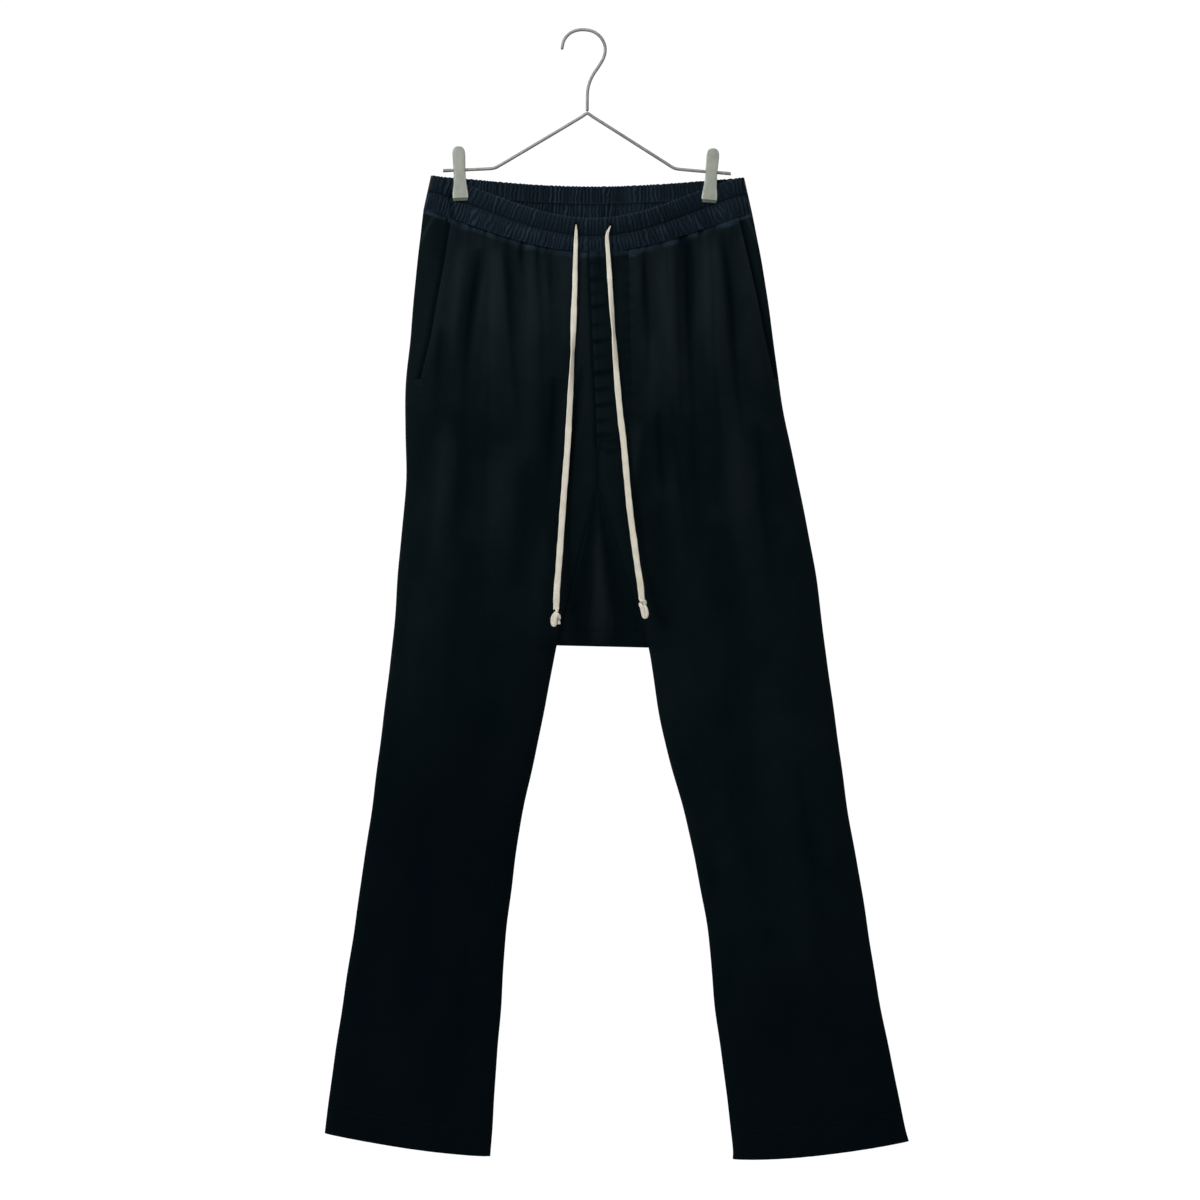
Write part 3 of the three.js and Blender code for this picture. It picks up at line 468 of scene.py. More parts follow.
def seam_puckers(leg, face, station, share, x, z):
    """Unevenness that stitching pulls into the cloth, at the waist, pocket, fly and hem."""
    dice = 17 if face == FRONT else 19
    strip = np.clip(1 - station / 0.17, 0, 1)
    total = 0.55 * strip * np.sin(x * 2 * math.pi / 4.6 + 2 * ripple(x, z * 0, 30, dice))
    hem = bell(station - HEM_LINE, 0.05) * smoothstep(station, 11, 11.5)
    total = total + 0.45 * hem + 0.3 * smoothstep(station, 11.6, 12) * ripple(x + z * 0.7, z, 13, dice + 4)
    if face == FRONT:
        near = bell(share - pocket_share(leg, station), 0.045)
        total = total + 0.28 * near * (station < POCKET_END + 0.3) * np.sin(z * 2 * math.pi / 9 + x / 9)
    if face == FRONT and leg is LEFT:
        line = bell(x - J_STITCH_X, 5.5) * (z > J_STITCH_END_Z)
        total = total + line * (0.35 + 0.5 * np.sin(z * 2 * math.pi / 14.5 + 2.5 * ripple(z * 0, z, 50, 29)))
    return total


def normals_of(points):
    """Unit normals of a grid of points, from its own slopes."""
    across = np.gradient(points, axis=1)
    down = np.gradient(points, axis=0)
    return unit(np.cross(across, down))


def inward(points, guide, face, distance):
    """A grid moved into the garment, along the normals of a smoother one, never past the middle."""
    normal = normals_of(guide)
    flip = np.sign(np.sum(normal[..., 1]) * face)
    moved = points - normal * flip * np.asarray(distance)[..., None]
    moved[..., 1] = face * np.maximum(moved[..., 1] * face, SEAM / 2)
    return moved


def shares_of(count, station):
    """Shares across a row: closer together where the cloth turns at a closed edge."""
    u = np.linspace(0, 1, count + 1)[None, :]
    half = lerp(u, 1 - np.cos(u * math.pi / 2), 0.6)
    tube = lerp(u, (1 - np.cos(u * math.pi)) / 2, 0.75)
    return lerp(tube, half, openness(station)[:, None])


# Mesh code

def collection_add(obj):
    bpy.context.scene.collection.objects.link(obj)
    return obj


def mesh_of(name, points, faces, uv=None, tone=None, smooth_angle=50):
    """An object from points in millimetres. uv and tone are given for each point."""
    used, index = np.unique(np.concatenate([np.ravel(f) for f in faces]), return_inverse=True)
    mesh = bpy.data.meshes.new(name)
    sizes = np.concatenate([np.full(len(f), f.shape[1]) for f in faces])
    mesh.vertices.add(len(used))
    mesh.vertices.foreach_set("co", (points[used] * MM).astype(np.float32).ravel())
    mesh.loops.add(len(index))
    mesh.loops.foreach_set("vertex_index", index.astype(np.int32))
    mesh.polygons.add(len(sizes))
    starts = np.concatenate([[0], np.cumsum(sizes)[:-1]])
    mesh.polygons.foreach_set("loop_start", starts.astype(np.int32))
    mesh.polygons.foreach_set("loop_total", sizes.astype(np.int32))
    mesh.update(calc_edges=True)
    if uv is not None:
        layer = mesh.uv_layers.new(name="cloth")
        layer.data.foreach_set("uv", uv[used][index].astype(np.float32).ravel())
    if tone is not None:
        layer = mesh.color_attributes.new("tone", "FLOAT_COLOR", "POINT")
        layer.data.foreach_set("color", tone[used].astype(np.float32).ravel())
    mesh.validate()
    mesh.shade_smooth()
    mesh.set_sharp_from_angle(angle=math.radians(smooth_angle))
    return collection_add(bpy.data.objects.new(name, mesh))


def grid_index(rows, columns):
    return np.arange(rows * columns).reshape(rows, columns)


def quads(index):
    return np.stack([index[:-1, :-1], index[:-1, 1:], index[1:, 1:], index[1:, :-1]], axis=-1).reshape(-1, 4)


def shell(name, outer, inner, uv, tone, keep=None, smooth_angle=50):
    """A thin closed wall from two grids. keep is False where a quad is left out."""
    rows, columns = outer.shape[:2]
    keep = np.ones((rows - 1, columns - 1), bool) if keep is None else keep
    out = grid_index(rows, columns)
    behind = rows * columns
    faces = [quads(out)[keep.ravel()], quads(out + behind)[keep.ravel()][:, ::-1]]
    padded = np.pad(keep, 1).astype(int)
    row_steps = (padded[1:, 1:-1] - padded[:-1, 1:-1], out[:, :-1], out[:, 1:], 1)
    column_steps = (padded[1:-1, 1:] - padded[1:-1, :-1], out[:-1, :], out[1:, :], -1)
    for step, a, b, turn in (row_steps, column_steps):
        for sign in (1, -1):
            first, second = (a, b) if sign == turn else (b, a)
            first, second = first[step == sign], second[step == sign]
            faces.append(np.stack([second, first, first + behind, second + behind], -1))
    points = np.concatenate([outer.reshape(-1, 3), inner.reshape(-1, 3)])
    main = faces[0][len(faces[0]) // 2]
    normal = np.cross(points[main[1]] - points[main[0]], points[main[3]] - points[main[0]])
    toward = points[main].mean(0) - points[main + behind].mean(0)
    if np.dot(normal, toward) < 0:
        faces = [f[:, ::-1] for f in faces]
    uv, tone = np.tile(uv.reshape(-1, 2), (2, 1)), np.tile(tone.reshape(-1, 4), (2, 1))
    return mesh_of(name, points, faces, uv, tone, smooth_angle)


def uv_of(points):
    """Cloth coordinates in metres: along each row, and down."""
    run = np.linalg.norm(np.diff(points[..., :2], axis=1), axis=-1)
    u = np.concatenate([np.zeros((len(points), 1)), np.cumsum(run, axis=1)], axis=1)
    return np.stack([u * MM, -points[..., 2] * MM], axis=-1)


def tone_of(relief_shade, fade=0.0, strip=0.0, deep=0.0):
    """Colour hints for the cloth's material: painted shade in troughs and painted light on ridges, lighter
    areas that are partly fading and partly painted light, pale seam strip, and painted shade lower down the
    legs.
    """
    tone = np.zeros(relief_shade.shape + (4,))
    # Channel 0: painted shade in the troughs and painted light on the ridges
    tone[..., 0] = np.clip(0.5 - relief_shade / 9, 0, 1)
    tone[..., 1] = np.clip(fade, 0, 1)
    tone[..., 2] = np.clip(strip, 0, 1)
    # Channel 3: painted shade, where the cloth is darker lower down
    tone[..., 3] = np.clip(deep, 0, 1)
    return tone


def looped(index):
    return np.concatenate([index, index[:, :1]], axis=1)


def sweep(path, broad, thin, sides, power=1.0):
    """Points and faces round a path, on a section that two vectors span at each point."""
    cos, sin = loop(sides, power)
    ring = cos[None, :, None] * broad[:, None, :] + sin[None, :, None] * thin[:, None, :]
    index = looped(grid_index(len(path), sides))
    faces = [quads(index)[:, ::-1], index[:1, :-1], index[-1:, :-1][:, ::-1]]
    return (path[:, None, :] + ring).reshape(-1, 3), faces


def tube(path, radii, sides, up=(0, 1, 0)):
    """Points and faces of a closed tube along a path, with an ellipse for its section."""
    path = np.asarray(path, float)
    tangent = unit(np.gradient(path, axis=0))
    across = unit(np.cross(tangent, np.broadcast_to(np.asarray(up, float), path.shape)))
    radii = np.broadcast_to(np.asarray(radii, float), (len(path), 2))
    return sweep(path, across * radii[:, :1], np.cross(across, tangent) * radii[:, 1:], sides)


def joined(parts):
    """Points and faces of several small pieces as one."""
    points, faces, start = [], [], 0
    for piece_points, piece_faces in parts:
        points.append(piece_points)
        faces += [f + start for f in piece_faces]
        start += len(piece_points)
    return np.concatenate(points), faces


def curve_points(route, count):
    """Evenly spaced points on a smooth curve through a route."""
    route = np.asarray(route, float)
    dense = np.linspace(0, len(route) - 1, 40 * len(route))
    line = np.stack([smooth(route[:, k], dense) for k in range(route.shape[1])], axis=1)
    return points_at(line, np.linspace(0, 1, count) * run_along(line)[-1])


def points_at(line, at, values=None):
    """Points of a line at distances along it, or the values that belong to its points."""
    values = line if values is None else values
    along = run_along(line)
    return np.stack([np.interp(at, along, values[:, k]) for k in range(values.shape[1])], axis=1)


# Materials

class Nodes:
    """Short ways to add nodes to a material or world. An input is a number, a colour or a node's output."""

    def __init__(self, owner):
        owner.use_nodes = True
        self.owner = owner
        self.tree = owner.node_tree

    def give(self, node, inputs):
        for socket, value in inputs.items():
            if hasattr(value, "node"):
                self.tree.links.new(value, node.inputs[socket])
            else:
                node.inputs[socket].default_value = value

    def node(self, kind, inputs=None, **settings):
        node = self.tree.nodes.new(kind)
        for key, value in settings.items():
            setattr(node, key, value)
        self.give(node, inputs or {})
        return node

    def noise(self, place, scale, detail=2.0, **inputs):
        inputs = {"Vector": place, "Scale": scale, "Detail": detail, **inputs}
        return self.node("ShaderNodeTexNoise", inputs).outputs[0]

    def bump(self, height, strength, distance, **inputs):
        inputs = {"Height": height, "Strength": strength, "Distance": distance, **inputs}
        return self.node("ShaderNodeBump", inputs).outputs[0]

    def remap(self, source, low, high, to_low=0.0, to_high=1.0):
        inputs = {0: source, 1: low, 2: high, 3: to_low, 4: to_high}
        return self.node("ShaderNodeMapRange", inputs).outputs[0]

    def combined(self, operation, a, b):
        return self.node("ShaderNodeMath", {0: a, 1: b}, operation=operation).outputs[0]

    def times(self, a, b):
        return self.combined("MULTIPLY", a, b)

    def plus(self, *terms):
        total = terms[0]
        for term in terms[1:]:
            total = self.combined("ADD", total, term)
        return total

    def mixed(self, factor, a, b):
        return self.node("ShaderNodeMix", {0: factor, 6: a, 7: b}, data_type="RGBA").outputs[2]

    def weave(self, uv, threads_per_metre, slant=0.0):
        """Height of a weave whose threads cross at right angles, or lean for a twill."""
        sets = []
        for angle in (slant, slant + math.pi / 2):
            run = self.node("ShaderNodeMapping", {"Vector": uv, "Rotation": (0, 0, angle)}).outputs[0]
            inputs = {"Vector": run, "Scale": threads_per_metre / 3.1, "Distortion": 1.4, "Detail": 2,
                      "Detail Scale": 2.0}
            sets.append(self.node("ShaderNodeTexWave", inputs, wave_type="BANDS", bands_direction="X",
                                  wave_profile="SIN").outputs[1])
        return self.times(*sets)

    def cloth_uv(self):
        return self.node("ShaderNodeUVMap", uv_map="cloth").outputs[0]

    def shade(self, inputs):
        self.give(self.tree.nodes["Principled BSDF"], inputs)
        return self.owner


def new_material(name):
    """A new material's nodes, and the output that says where on the object a point lies."""
    nodes = Nodes(bpy.data.materials.new(name))
    return nodes, nodes.node("ShaderNodeTexCoord").outputs[3]


def cloth_material(name, dark, light, deep, strip, threads, weave_depth, roughness, sheen, gloss):
    """Woven cloth: painted shade in the troughs and painted light on ridges, with faded seams, mottle and a
    weave.
    """
    nodes, place = new_material(name)
    uv = nodes.cloth_uv()
    tone = nodes.node("ShaderNodeAttribute", attribute_name="tone", attribute_type="GEOMETRY")
    # height is the painted shade and light of the folds; fade is partly fading and partly painted light
    height, fade, strip_mask = nodes.node("ShaderNodeSeparateColor", {0: tone.outputs[0]}).outputs
    mottle = nodes.noise(place, 26, 7, Roughness=0.6)
    fleck = nodes.noise(uv, 900, 3)
    weave = nodes.weave(uv, threads)
    amount = nodes.plus(
        nodes.times(nodes.remap(height, 0.45, 0.85), 0.6),
        nodes.times(fade, 0.9),
        nodes.times(nodes.remap(mottle, 0.3, 0.75), 0.2),
        nodes.times(nodes.remap(fleck, 0.5, 0.8), 0.2),
        nodes.times(weave, 0.12),
    )
    # Painted shade, darkest where the folds are deepest
    amount = nodes.times(amount, nodes.remap(height, 0.02, 0.5, 0.12))
    colour = nodes.mixed(nodes.combined("MINIMUM", amount, 1.0), dark, light)
    # Painted shade: the deep colour where the tone marks the lower legs
    colour = nodes.mixed(nodes.times(tone.outputs[3], 0.6), colour, deep)
    worn = nodes.remap(nodes.noise(uv, 75, 6), 0.2, 0.75)
    colour = nodes.mixed(nodes.times(strip_mask, worn), colour, strip)
    threads_in_relief = nodes.bump(weave, 0.5, weave_depth)
    return nodes.shade({
        "Base Color": colour,
        "Roughness": nodes.remap(mottle, 0.3, 0.7, roughness - 0.06, min(roughness + 0.06, 1.0)),
        "Normal": nodes.bump(nodes.noise(place, 38, 4), 0.35, 0.0022, Normal=threads_in_relief),
        "Sheen Weight": sheen,
        "Sheen Roughness": 0.5,
        "Sheen Tint": (0.3, 0.6, 0.8, 1),
        "Specular IOR Level": gloss,
        "Specular Tint": (0.45, 0.75, 1, 1),
    })


def cord_material(name):
    """Undyed cotton tape: a flat herringbone weave, a little uneven in colour."""
    nodes, place = new_material(name)
    weave = nodes.weave(nodes.cloth_uv(), 1500, math.radians(45))
    mottle = nodes.noise(place, 70, 6)
    colour = nodes.mixed(nodes.remap(mottle, 0.35, 0.7), (0.76, 0.7, 0.56, 1), (0.9, 0.86, 0.74, 1))
    return nodes.shade({
        "Base Color": nodes.mixed(nodes.times(weave, 0.5), colour, (0.95, 0.92, 0.82, 1)),
        "Roughness": nodes.remap(mottle, -1.5, 0.8),
        "Normal": nodes.bump(weave, 0.7, 0.0004),
        "Sheen Weight": 0.25,
        "Specular IOR Level": 0.2,
    })


def metal_material(name, dark, light, metallic, roughness, brushing):
    """Plated or lacquered steel with handling marks and a slight grain."""
    nodes, place = new_material(name)
    mottle = nodes.noise(place, 120, 6)
    stretched = nodes.node("ShaderNodeMapping", {"Vector": place, "Scale": (1, 1, 0.04)}).outputs[0]
    grain = nodes.noise(stretched, 1400)
    wear = nodes.plus(nodes.times(mottle, 1 - brushing), nodes.times(grain, brushing))
    return nodes.shade({
        "Base Color": nodes.mixed(nodes.remap(wear, 0.35, 0.65), dark, light),
        "Roughness": nodes.remap(mottle, 0.3, 0.7, roughness - 0.08, roughness + 0.1),
        "Normal": nodes.bump(grain, brushing / 2, 0.0001),
        "Metallic": metallic,
    })


def thread_material(name, dark, light):
    """Sewing thread: a twisted, slightly glossy yarn."""
    nodes, place = new_material(name)
    twist = nodes.noise(place, 2200)
    return nodes.shade({
        "Base Color": nodes.mixed(nodes.remap(twist, 0.35, 0.65), dark, light),
        "Roughness": 0.7,
        "Normal": nodes.bump(twist, 0.4, 0.0002),
        "Specular IOR Level": 0.08,
    })


# deep is a painted shade colour, laid where the tone marks cloth darker lower down
BODY = cloth_material(
    "body_twill", dark=(0.0004, 0.003, 0.004, 1), light=(0.0088, 0.0135, 0.0154, 1),
    deep=(0.0005, 0.0019, 0.0036, 1), strip=(0.022, 0.039, 0.058, 1),
    threads=2200, weave_depth=0.00025, roughness=0.92, sheen=0.012, gloss=0.04,
)
BAND = cloth_material(
    "band_satin", dark=(0.0006, 0.0018, 0.0038, 1), light=(0.0108, 0.0185, 0.0295, 1),
    deep=(0.0007, 0.0021, 0.0042, 1), strip=(0.03, 0.05, 0.08, 1),
    threads=3000, weave_depth=0.00015, roughness=0.52, sheen=0.02, gloss=0.16,
)
COTTON = cord_material("cord_cotton")
THREAD_BLACK = thread_material("thread_black", (0.001, 0.003, 0.0045, 1), (0.006, 0.01, 0.012, 1))
THREAD_NAVY = thread_material("thread_navy", (0.001, 0.0025, 0.005, 1), (0.006, 0.011, 0.019, 1))
METALS = {
    name: metal_material(name, (*dark, 1), (*light, 1), metallic, roughness, brushing)
    for name, dark, light, metallic, roughness, brushing in [
        ("wire_steel", (0.26, 0.26, 0.25), (0.34, 0.34, 0.33), 0.6, 0.5, 0.04),
        ("clip_lacquer", (0.31, 0.33, 0.28), (0.38, 0.4, 0.35), 0.25, 0.5, 0.4),
        # Painted shade for the recessed lip, and painted highlight for the bevelled sides
        ("clip_lip_painted_shade", (0.07, 0.085, 0.068), (0.1, 0.12, 0.1), 0.2, 0.6, 0.2),
        ("clip_bevel_painted_highlight", (0.47, 0.52, 0.47), (0.53, 0.58, 0.53), 0.25, 0.5, 0.3),
    ]
}


def dress(obj, material, slot, *nodes):
    """Gives a piece its material and body, and hides the solids that it stands for. slot is not used."""
    obj.data.materials.clear()
    obj.data.materials.append(material)
    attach(obj, "root")
    if nodes:
        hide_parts(*nodes)
    return obj


# Camera

def make_camera():
    data = bpy.data.cameras.new("camera")
    data.sensor_width = SENSOR
    data.lens = SENSOR * CAMERA_DISTANCE / (PICTURE_PIXELS * MM_PER_PIXEL)
    camera = collection_add(bpy.data.objects.new("camera", data))
    x, z = PICTURE_MIDDLE
    camera.location = (x * MM, -CAMERA_DISTANCE * MM, z * MM)
    camera.rotation_euler = (math.pi / 2, 0, 0)
    bpy.context.scene.camera = camera


# Cords and their knots

ROUND_KNOT = [
    (0.4, 0, 12.5), (1.4, -0.2, 9.2), (0.8, -1, 6.6), (-1.6, -1.6, 4), (-3.3, -1.6, 0.6),
    (-3.5, -1.2, -3.6), (-2.4, -1.6, -6.8), (-0.9, -2.6, -6.2), (-0.6, -3.2, -2.6), (0, -3, 1.4),
    (2, -2.2, 3.6), (3.6, -0.8, 1.6), (3, 1, -0.6), (0.4, 1.8, -1.2), (-1.6, 1.4, -3), (0.6, 0.8, -4.4),
    (3.2, -0.6, -3.6), (3.6, -0.9, -6.4),
]
LONG_KNOT = [
    (-2.2, 0, 15), (-2.9, -0.6, 11.6), (-1.6, -2.2, 9), (1.5, -2.3, 8.2), (2.6, -0.4, 5.6),
    (0.6, 1.4, 4.4), (-1.6, 0.9, 5.4), (-2.2, -0.8, 4), (-0.9, -1.9, 1.2), (0.2, -2, -3.4),
    (1.4, -1.8, -8.4), (3.6, -1.4, -8.8), (4.5, -1.2, -5.4), (3.8, -1.2, -1), (2.4, -0.7, 2),
    (0.8, 0.6, 1.6), (0.7, 1.1, -2.4), (1.7, 0.7, -6),
]


def knot(name, centre, route, node):
    """The cord's end, knotted tight, as a soft strand that passes over and behind itself."""
    line = curve_points(route, 120) + np.array(centre)
    u = np.linspace(0, 1, len(line))
    points, faces = tube(line, np.outer(1 - 0.14 * np.cos(u * 2 * math.pi), KNOT_STRAND), KNOT_SIDES)
    run = np.repeat(u * 0.07, KNOT_SIDES)
    turn = np.tile(np.arange(KNOT_SIDES) / KNOT_SIDES * 0.012, len(line))
    piece = mesh_of(name, points, faces, np.stack([turn, run], axis=1), smooth_angle=60)
    return dress(piece, COTTON, "drawstring_cotton", node)


def drawstring(side, route, twists, knot_centre, knot_route):
    """A flat woven cord that hangs from its buttonhole, turning a little about its own line."""
    line = curve_points(np.array(route) / MM, 260)
    fraction = np.linspace(0, 1, len(line))
    turn = np.radians(np.interp(fraction, *zip(*twists)))
    wide = CORD_WIDTH / 2 * np.interp(fraction, CORD_FULLNESS["at"], CORD_FULLNESS["share"])
    wide = wide * (1 + 0.035 * np.sin(fraction * 61) + 0.025 * np.sin(fraction * 143 + 1))
    line[:, 1] -= np.abs(np.sin(turn)) * wide * 0.75
    tangent = unit(np.gradient(line, axis=0))
    across = unit(np.cross(tangent, np.array([0, 1.0, 0])))
    deep = np.cross(across, tangent)
    cos, sin = np.cos(turn)[:, None], np.sin(turn)[:, None]
    broad = (across * cos + deep * sin) * wide[:, None]
    thin = (deep * cos - across * sin) * CORD_THICKNESS / 2
    points, faces = sweep(line, broad, thin, CORD_SIDES, CORD_SQUARENESS)
    along = run_along(line) * MM
    section = loop(CORD_SIDES, CORD_SQUARENESS)[0]
    uv = np.stack(np.broadcast_arrays(section[None, :] * 0.0035, along[:, None]), axis=-1)
    cord = mesh_of(f"cord_{side}", points, faces, uv.reshape(-1, 2), smooth_angle=70)
    dress(cord, COTTON, "drawstring_cotton", f"drawstring_{side}")
    end = knot(f"cord_knot_{side}", knot_centre, knot_route, f"knot_{side}")


make_camera()
drawstring("right", CORD_RIGHT, RIGHT_TWISTS, KNOT_RIGHT, ROUND_KNOT)
drawstring("left", CORD_LEFT, LEFT_TWISTS, KNOT_LEFT, LONG_KNOT)


# Cloth pieces

BODY_STATIONS = np.concatenate([
    np.linspace(0, 1, 19)[:-1], np.linspace(1, 4, 60)[:-1], np.linspace(4, 7, 40)[:-1],
    np.linspace(7, 12, 92)[:-1], np.linspace(12, 13, 12),
])


def fly_end_pucker(x, z):
    """Two short slanted puckers where the fly's stitching turns at its lower end."""
    low = np.interp(x, [13.1, 26.8, 39.6], [-457.0, -464.6, -459.1])
    high = np.interp(x, [13.1, 35.4], [-453.9, -450.7])
    run = smoothstep(x, 13, 16) * (1 - smoothstep(x, 36, 41))
    return run * (bell(z - low, 1.5) + 0.9 * bell(z - high, 1.4))


def body_panel(leg, face):
    """A front or back of the trousers. A front leaves its pocket opening out."""
    station = np.sort(np.append(BODY_STATIONS, POCKET_END))
    main = shares_of(BODY_COLUMNS, station)
    keep = None
    if face == FRONT:
        pocket = pocket_share(leg, station)[:, None]
        strip = pocket * np.linspace(0, 1, POCKET_COLUMNS + 1)[None, :-1] ** 1.3
        main = np.concatenate([strip, pocket + (1 - pocket) * main], axis=1)
        keep = np.ones((len(station) - 1, main.shape[1] - 1), bool)
        keep[station[:-1] < POCKET_END - 1e-6, :POCKET_COLUMNS] = False
    rows = np.broadcast_to(station[:, None], main.shape)
    points, relief_shade = body_grid(leg, face, rows, main)
    guide, _ = body_grid(leg, face, rows, main, fine=False)
    thick = lerp(CLOTH, HEM_WALL, smoothstep(rows, HEM_LINE - 0.05, HEM_LINE + 0.05))
    inner = inward(points, guide, face, thick)
    if face == BACK:
        inner[:, [0, 1, -2, -1], 1] -= SEAM_LAP
    lower_edge = 0.145 + 0.03 * ripple(points[..., 0], points[..., 0] * 0, 26, 41)
    strip_mask = 1 - smoothstep(rows, lower_edge - 0.04, lower_edge + 0.05)
    strip_mask = strip_mask * (0.75 + 0.4 * ripple(points[..., 0], rows * 0, 37, 43))
    # Painted highlight along the side and centre edges; painted light over the hips and upper legs, falling
    # off downward; a lighter hem; a lighter line along a front's pocket edge
    edge = np.exp(-main * 60) * 0.25 + np.exp(-(1 - main) * 60) * 0.12
    fade = 0.46 * (1 - smoothstep(rows, 0.1, 4.2)) + edge + 0.25 * smoothstep(rows, 12.8, 13)
    fade = fade + (0.14 if leg is LEFT else 0.1) * (1 - smoothstep(rows, 6, 11))
    if face == FRONT:
        fade = fade + 0.3 * np.exp(-np.abs(main - pocket) * 90) * (rows < POCKET_END + 0.1)
        # Painted shadow beside the fly's fold edge, and painted shade in the short puckers at the fly's lower
        # end
        fold_edge = np.interp(rows, PLACKET["station"], PLACKET["left"])
        fly_edge_shadow = bell(points[..., 0] - fold_edge + 1.2, 1.8) * (rows < 3.45)
        relief_shade = relief_shade + 5 * fly_edge_shadow + 3.4 * fly_end_pucker(points[..., 0], points[..., 2])
    # Painted shade along the centre seam above the crotch and along the waist seam; the pale seam strip is
    # dimmed where painted shade falls
    centre_seam_shade = np.exp(-(1 - main) * 160) * (rows < CROTCH)
    strip_mask = strip_mask * (1 - 0.85 * smoothstep(relief_shade, 0.5, 2.2)) * smoothstep(rows, 0, 0.03)
    relief_shade = relief_shade + 4 * centre_seam_shade + 4 * bell(rows, 0.02)
    # Painted shade: the lower legs darker, from a different height on each leg
    deep = smoothstep(rows, 6.2, 9.5) if leg is RIGHT else smoothstep(rows, 9, 12.5)
    name = f"{FACE_NAME[face]}_{leg.name}"
    tone = tone_of(relief_shade, fade, strip_mask, deep)
    obj = shell(f"{name}_cloth", points, inner, uv_of(points), tone, keep)
    return dress(obj, BODY, "body_cloth", name)


for leg in (RIGHT, LEFT):
    for face in (FRONT, BACK):
        body_panel(leg, face)


def pocket_facing(leg):
    """The cloth behind a slanted pocket opening, flush at the side seam and tucked under the front."""
    station = np.linspace(0, POCKET_END - 0.003, 120)
    pocket = pocket_share(leg, station)[:, None]
    share = (pocket + 0.09) * np.linspace(0, 1, 34)[None, :] ** 1.25
    rows = np.broadcast_to(station[:, None], share.shape)
    points, relief_shade = body_grid(leg, FRONT, rows, share)
    guide, _ = body_grid(leg, FRONT, rows, share, fine=False)
    closing = lerp(smoothstep(POCKET_END - rows, 0, 0.3), 1, smoothstep(share, pocket * 0.8, pocket))
    sink = (CLOTH + 0.7) * smoothstep(share, 0, pocket * 0.8) * closing
    outer = inward(points, guide, FRONT, sink)
    inner = inward(points, guide, FRONT, sink + CLOTH)
    strip_mask = 1 - smoothstep(rows, 0.1, 0.16)
    curve = np.interp(rows, [0, 0.12, 0.68, 0.72], [pocket[0, 0] * 0.72, pocket[0, 0] * 0.4, 0.004, -0.1])
    fade = 0.22 + 0.95 * bell(share - curve, 0.008)
    # Painted shadow along the pocket's edge, over the folds' painted shade
    shadow = 10 * bell(share - pocket, 0.02)
    tone = tone_of(relief_shade + shadow, fade, strip_mask)
    obj = shell(f"facing_{leg.name}_cloth", outer, inner, uv_of(outer), tone)
    return dress(obj, BODY, "body_cloth", f"pocket_facing_{leg.name}")


pocket_facing(RIGHT)
pocket_facing(LEFT)


def gusset():
    """The drop-crotch gusset: from the front fork down to the fold and up again to the back fork."""
    t = np.linspace(0, 1, 49)[None, :]
    near_fold = CROTCH - np.array([0.05, 0.025, 0.01])
    down = np.concatenate([np.linspace(FORK + 0.004, CROTCH - 0.08, 68), near_fold])
    rows_outer, rows_inner, relief_shade = [], [], []
    for face, stations in ((FRONT, down), (BACK, down[::-1])):
        ends = [body_grid(leg, face, stations, np.ones(len(stations)))[0] for leg in (RIGHT, LEFT)]
        spread = (stations - FORK) / (CROTCH - FORK)
        swell = np.sin(math.pi * spread ** 1.4)[:, None]
        ridge = (3.2 * np.sin(math.pi * t) ** 6 - 2.4 * np.sin(2 * math.pi * t) ** 2) * swell
        x = lerp(ends[0][:, 0:1] + SEAM, ends[1][:, 0:1] - SEAM, t)
        z = lerp(ends[0][:, 2:3], ends[1][:, 2:3], t)
        small = 0.5 * ripple(x, z, 34, 51, 2) * np.sin(math.pi * t)
        small = small + 0.5 * bell(z - GUSSET_CREASE_Z, 1.6)
        small = small + 0.25 * bell(z + 655, 7) * np.sin(x * 2 * math.pi / 8)
        small = small * smoothstep(CROTCH - stations, 0, 0.1)[:, None]
        y = lerp(ends[0][:, 1:2], ends[1][:, 1:2], t) + face * (ridge - small)
        outer = np.stack([x, y, z], axis=-1)
        inner = outer.copy()
        inner[..., 1] = face * np.maximum(outer[..., 1] * face - CLOTH, 0.02)
        inner[..., 2] += CLOTH * smoothstep(stations, CROTCH - 0.1, CROTCH)[:, None]
        rows_outer.append(outer)
        rows_inner.append(inner)
        # Painted shade and light from the gusset's ridge and small creases
        relief_shade.append(2 * small - ridge)
    fold = rows_outer[0][-1:].copy()
    fold[..., 1] = 0
    fold[..., 2] -= 0.2
    fold_inner = fold + np.array([0, 0, CLOTH])
    outer = np.concatenate([rows_outer[0], fold, rows_outer[1]])
    inner = np.concatenate([rows_inner[0], fold_inner, rows_inner[1]])
    relief_shade = np.concatenate([relief_shade[0], relief_shade[0][-1:], relief_shade[1]])
    obj = shell("gusset_cloth", outer, inner, uv_of(outer), tone_of(relief_shade, 0.05))
    return dress(obj, BODY, "body_cloth", "crotch_gusset")


gusset()


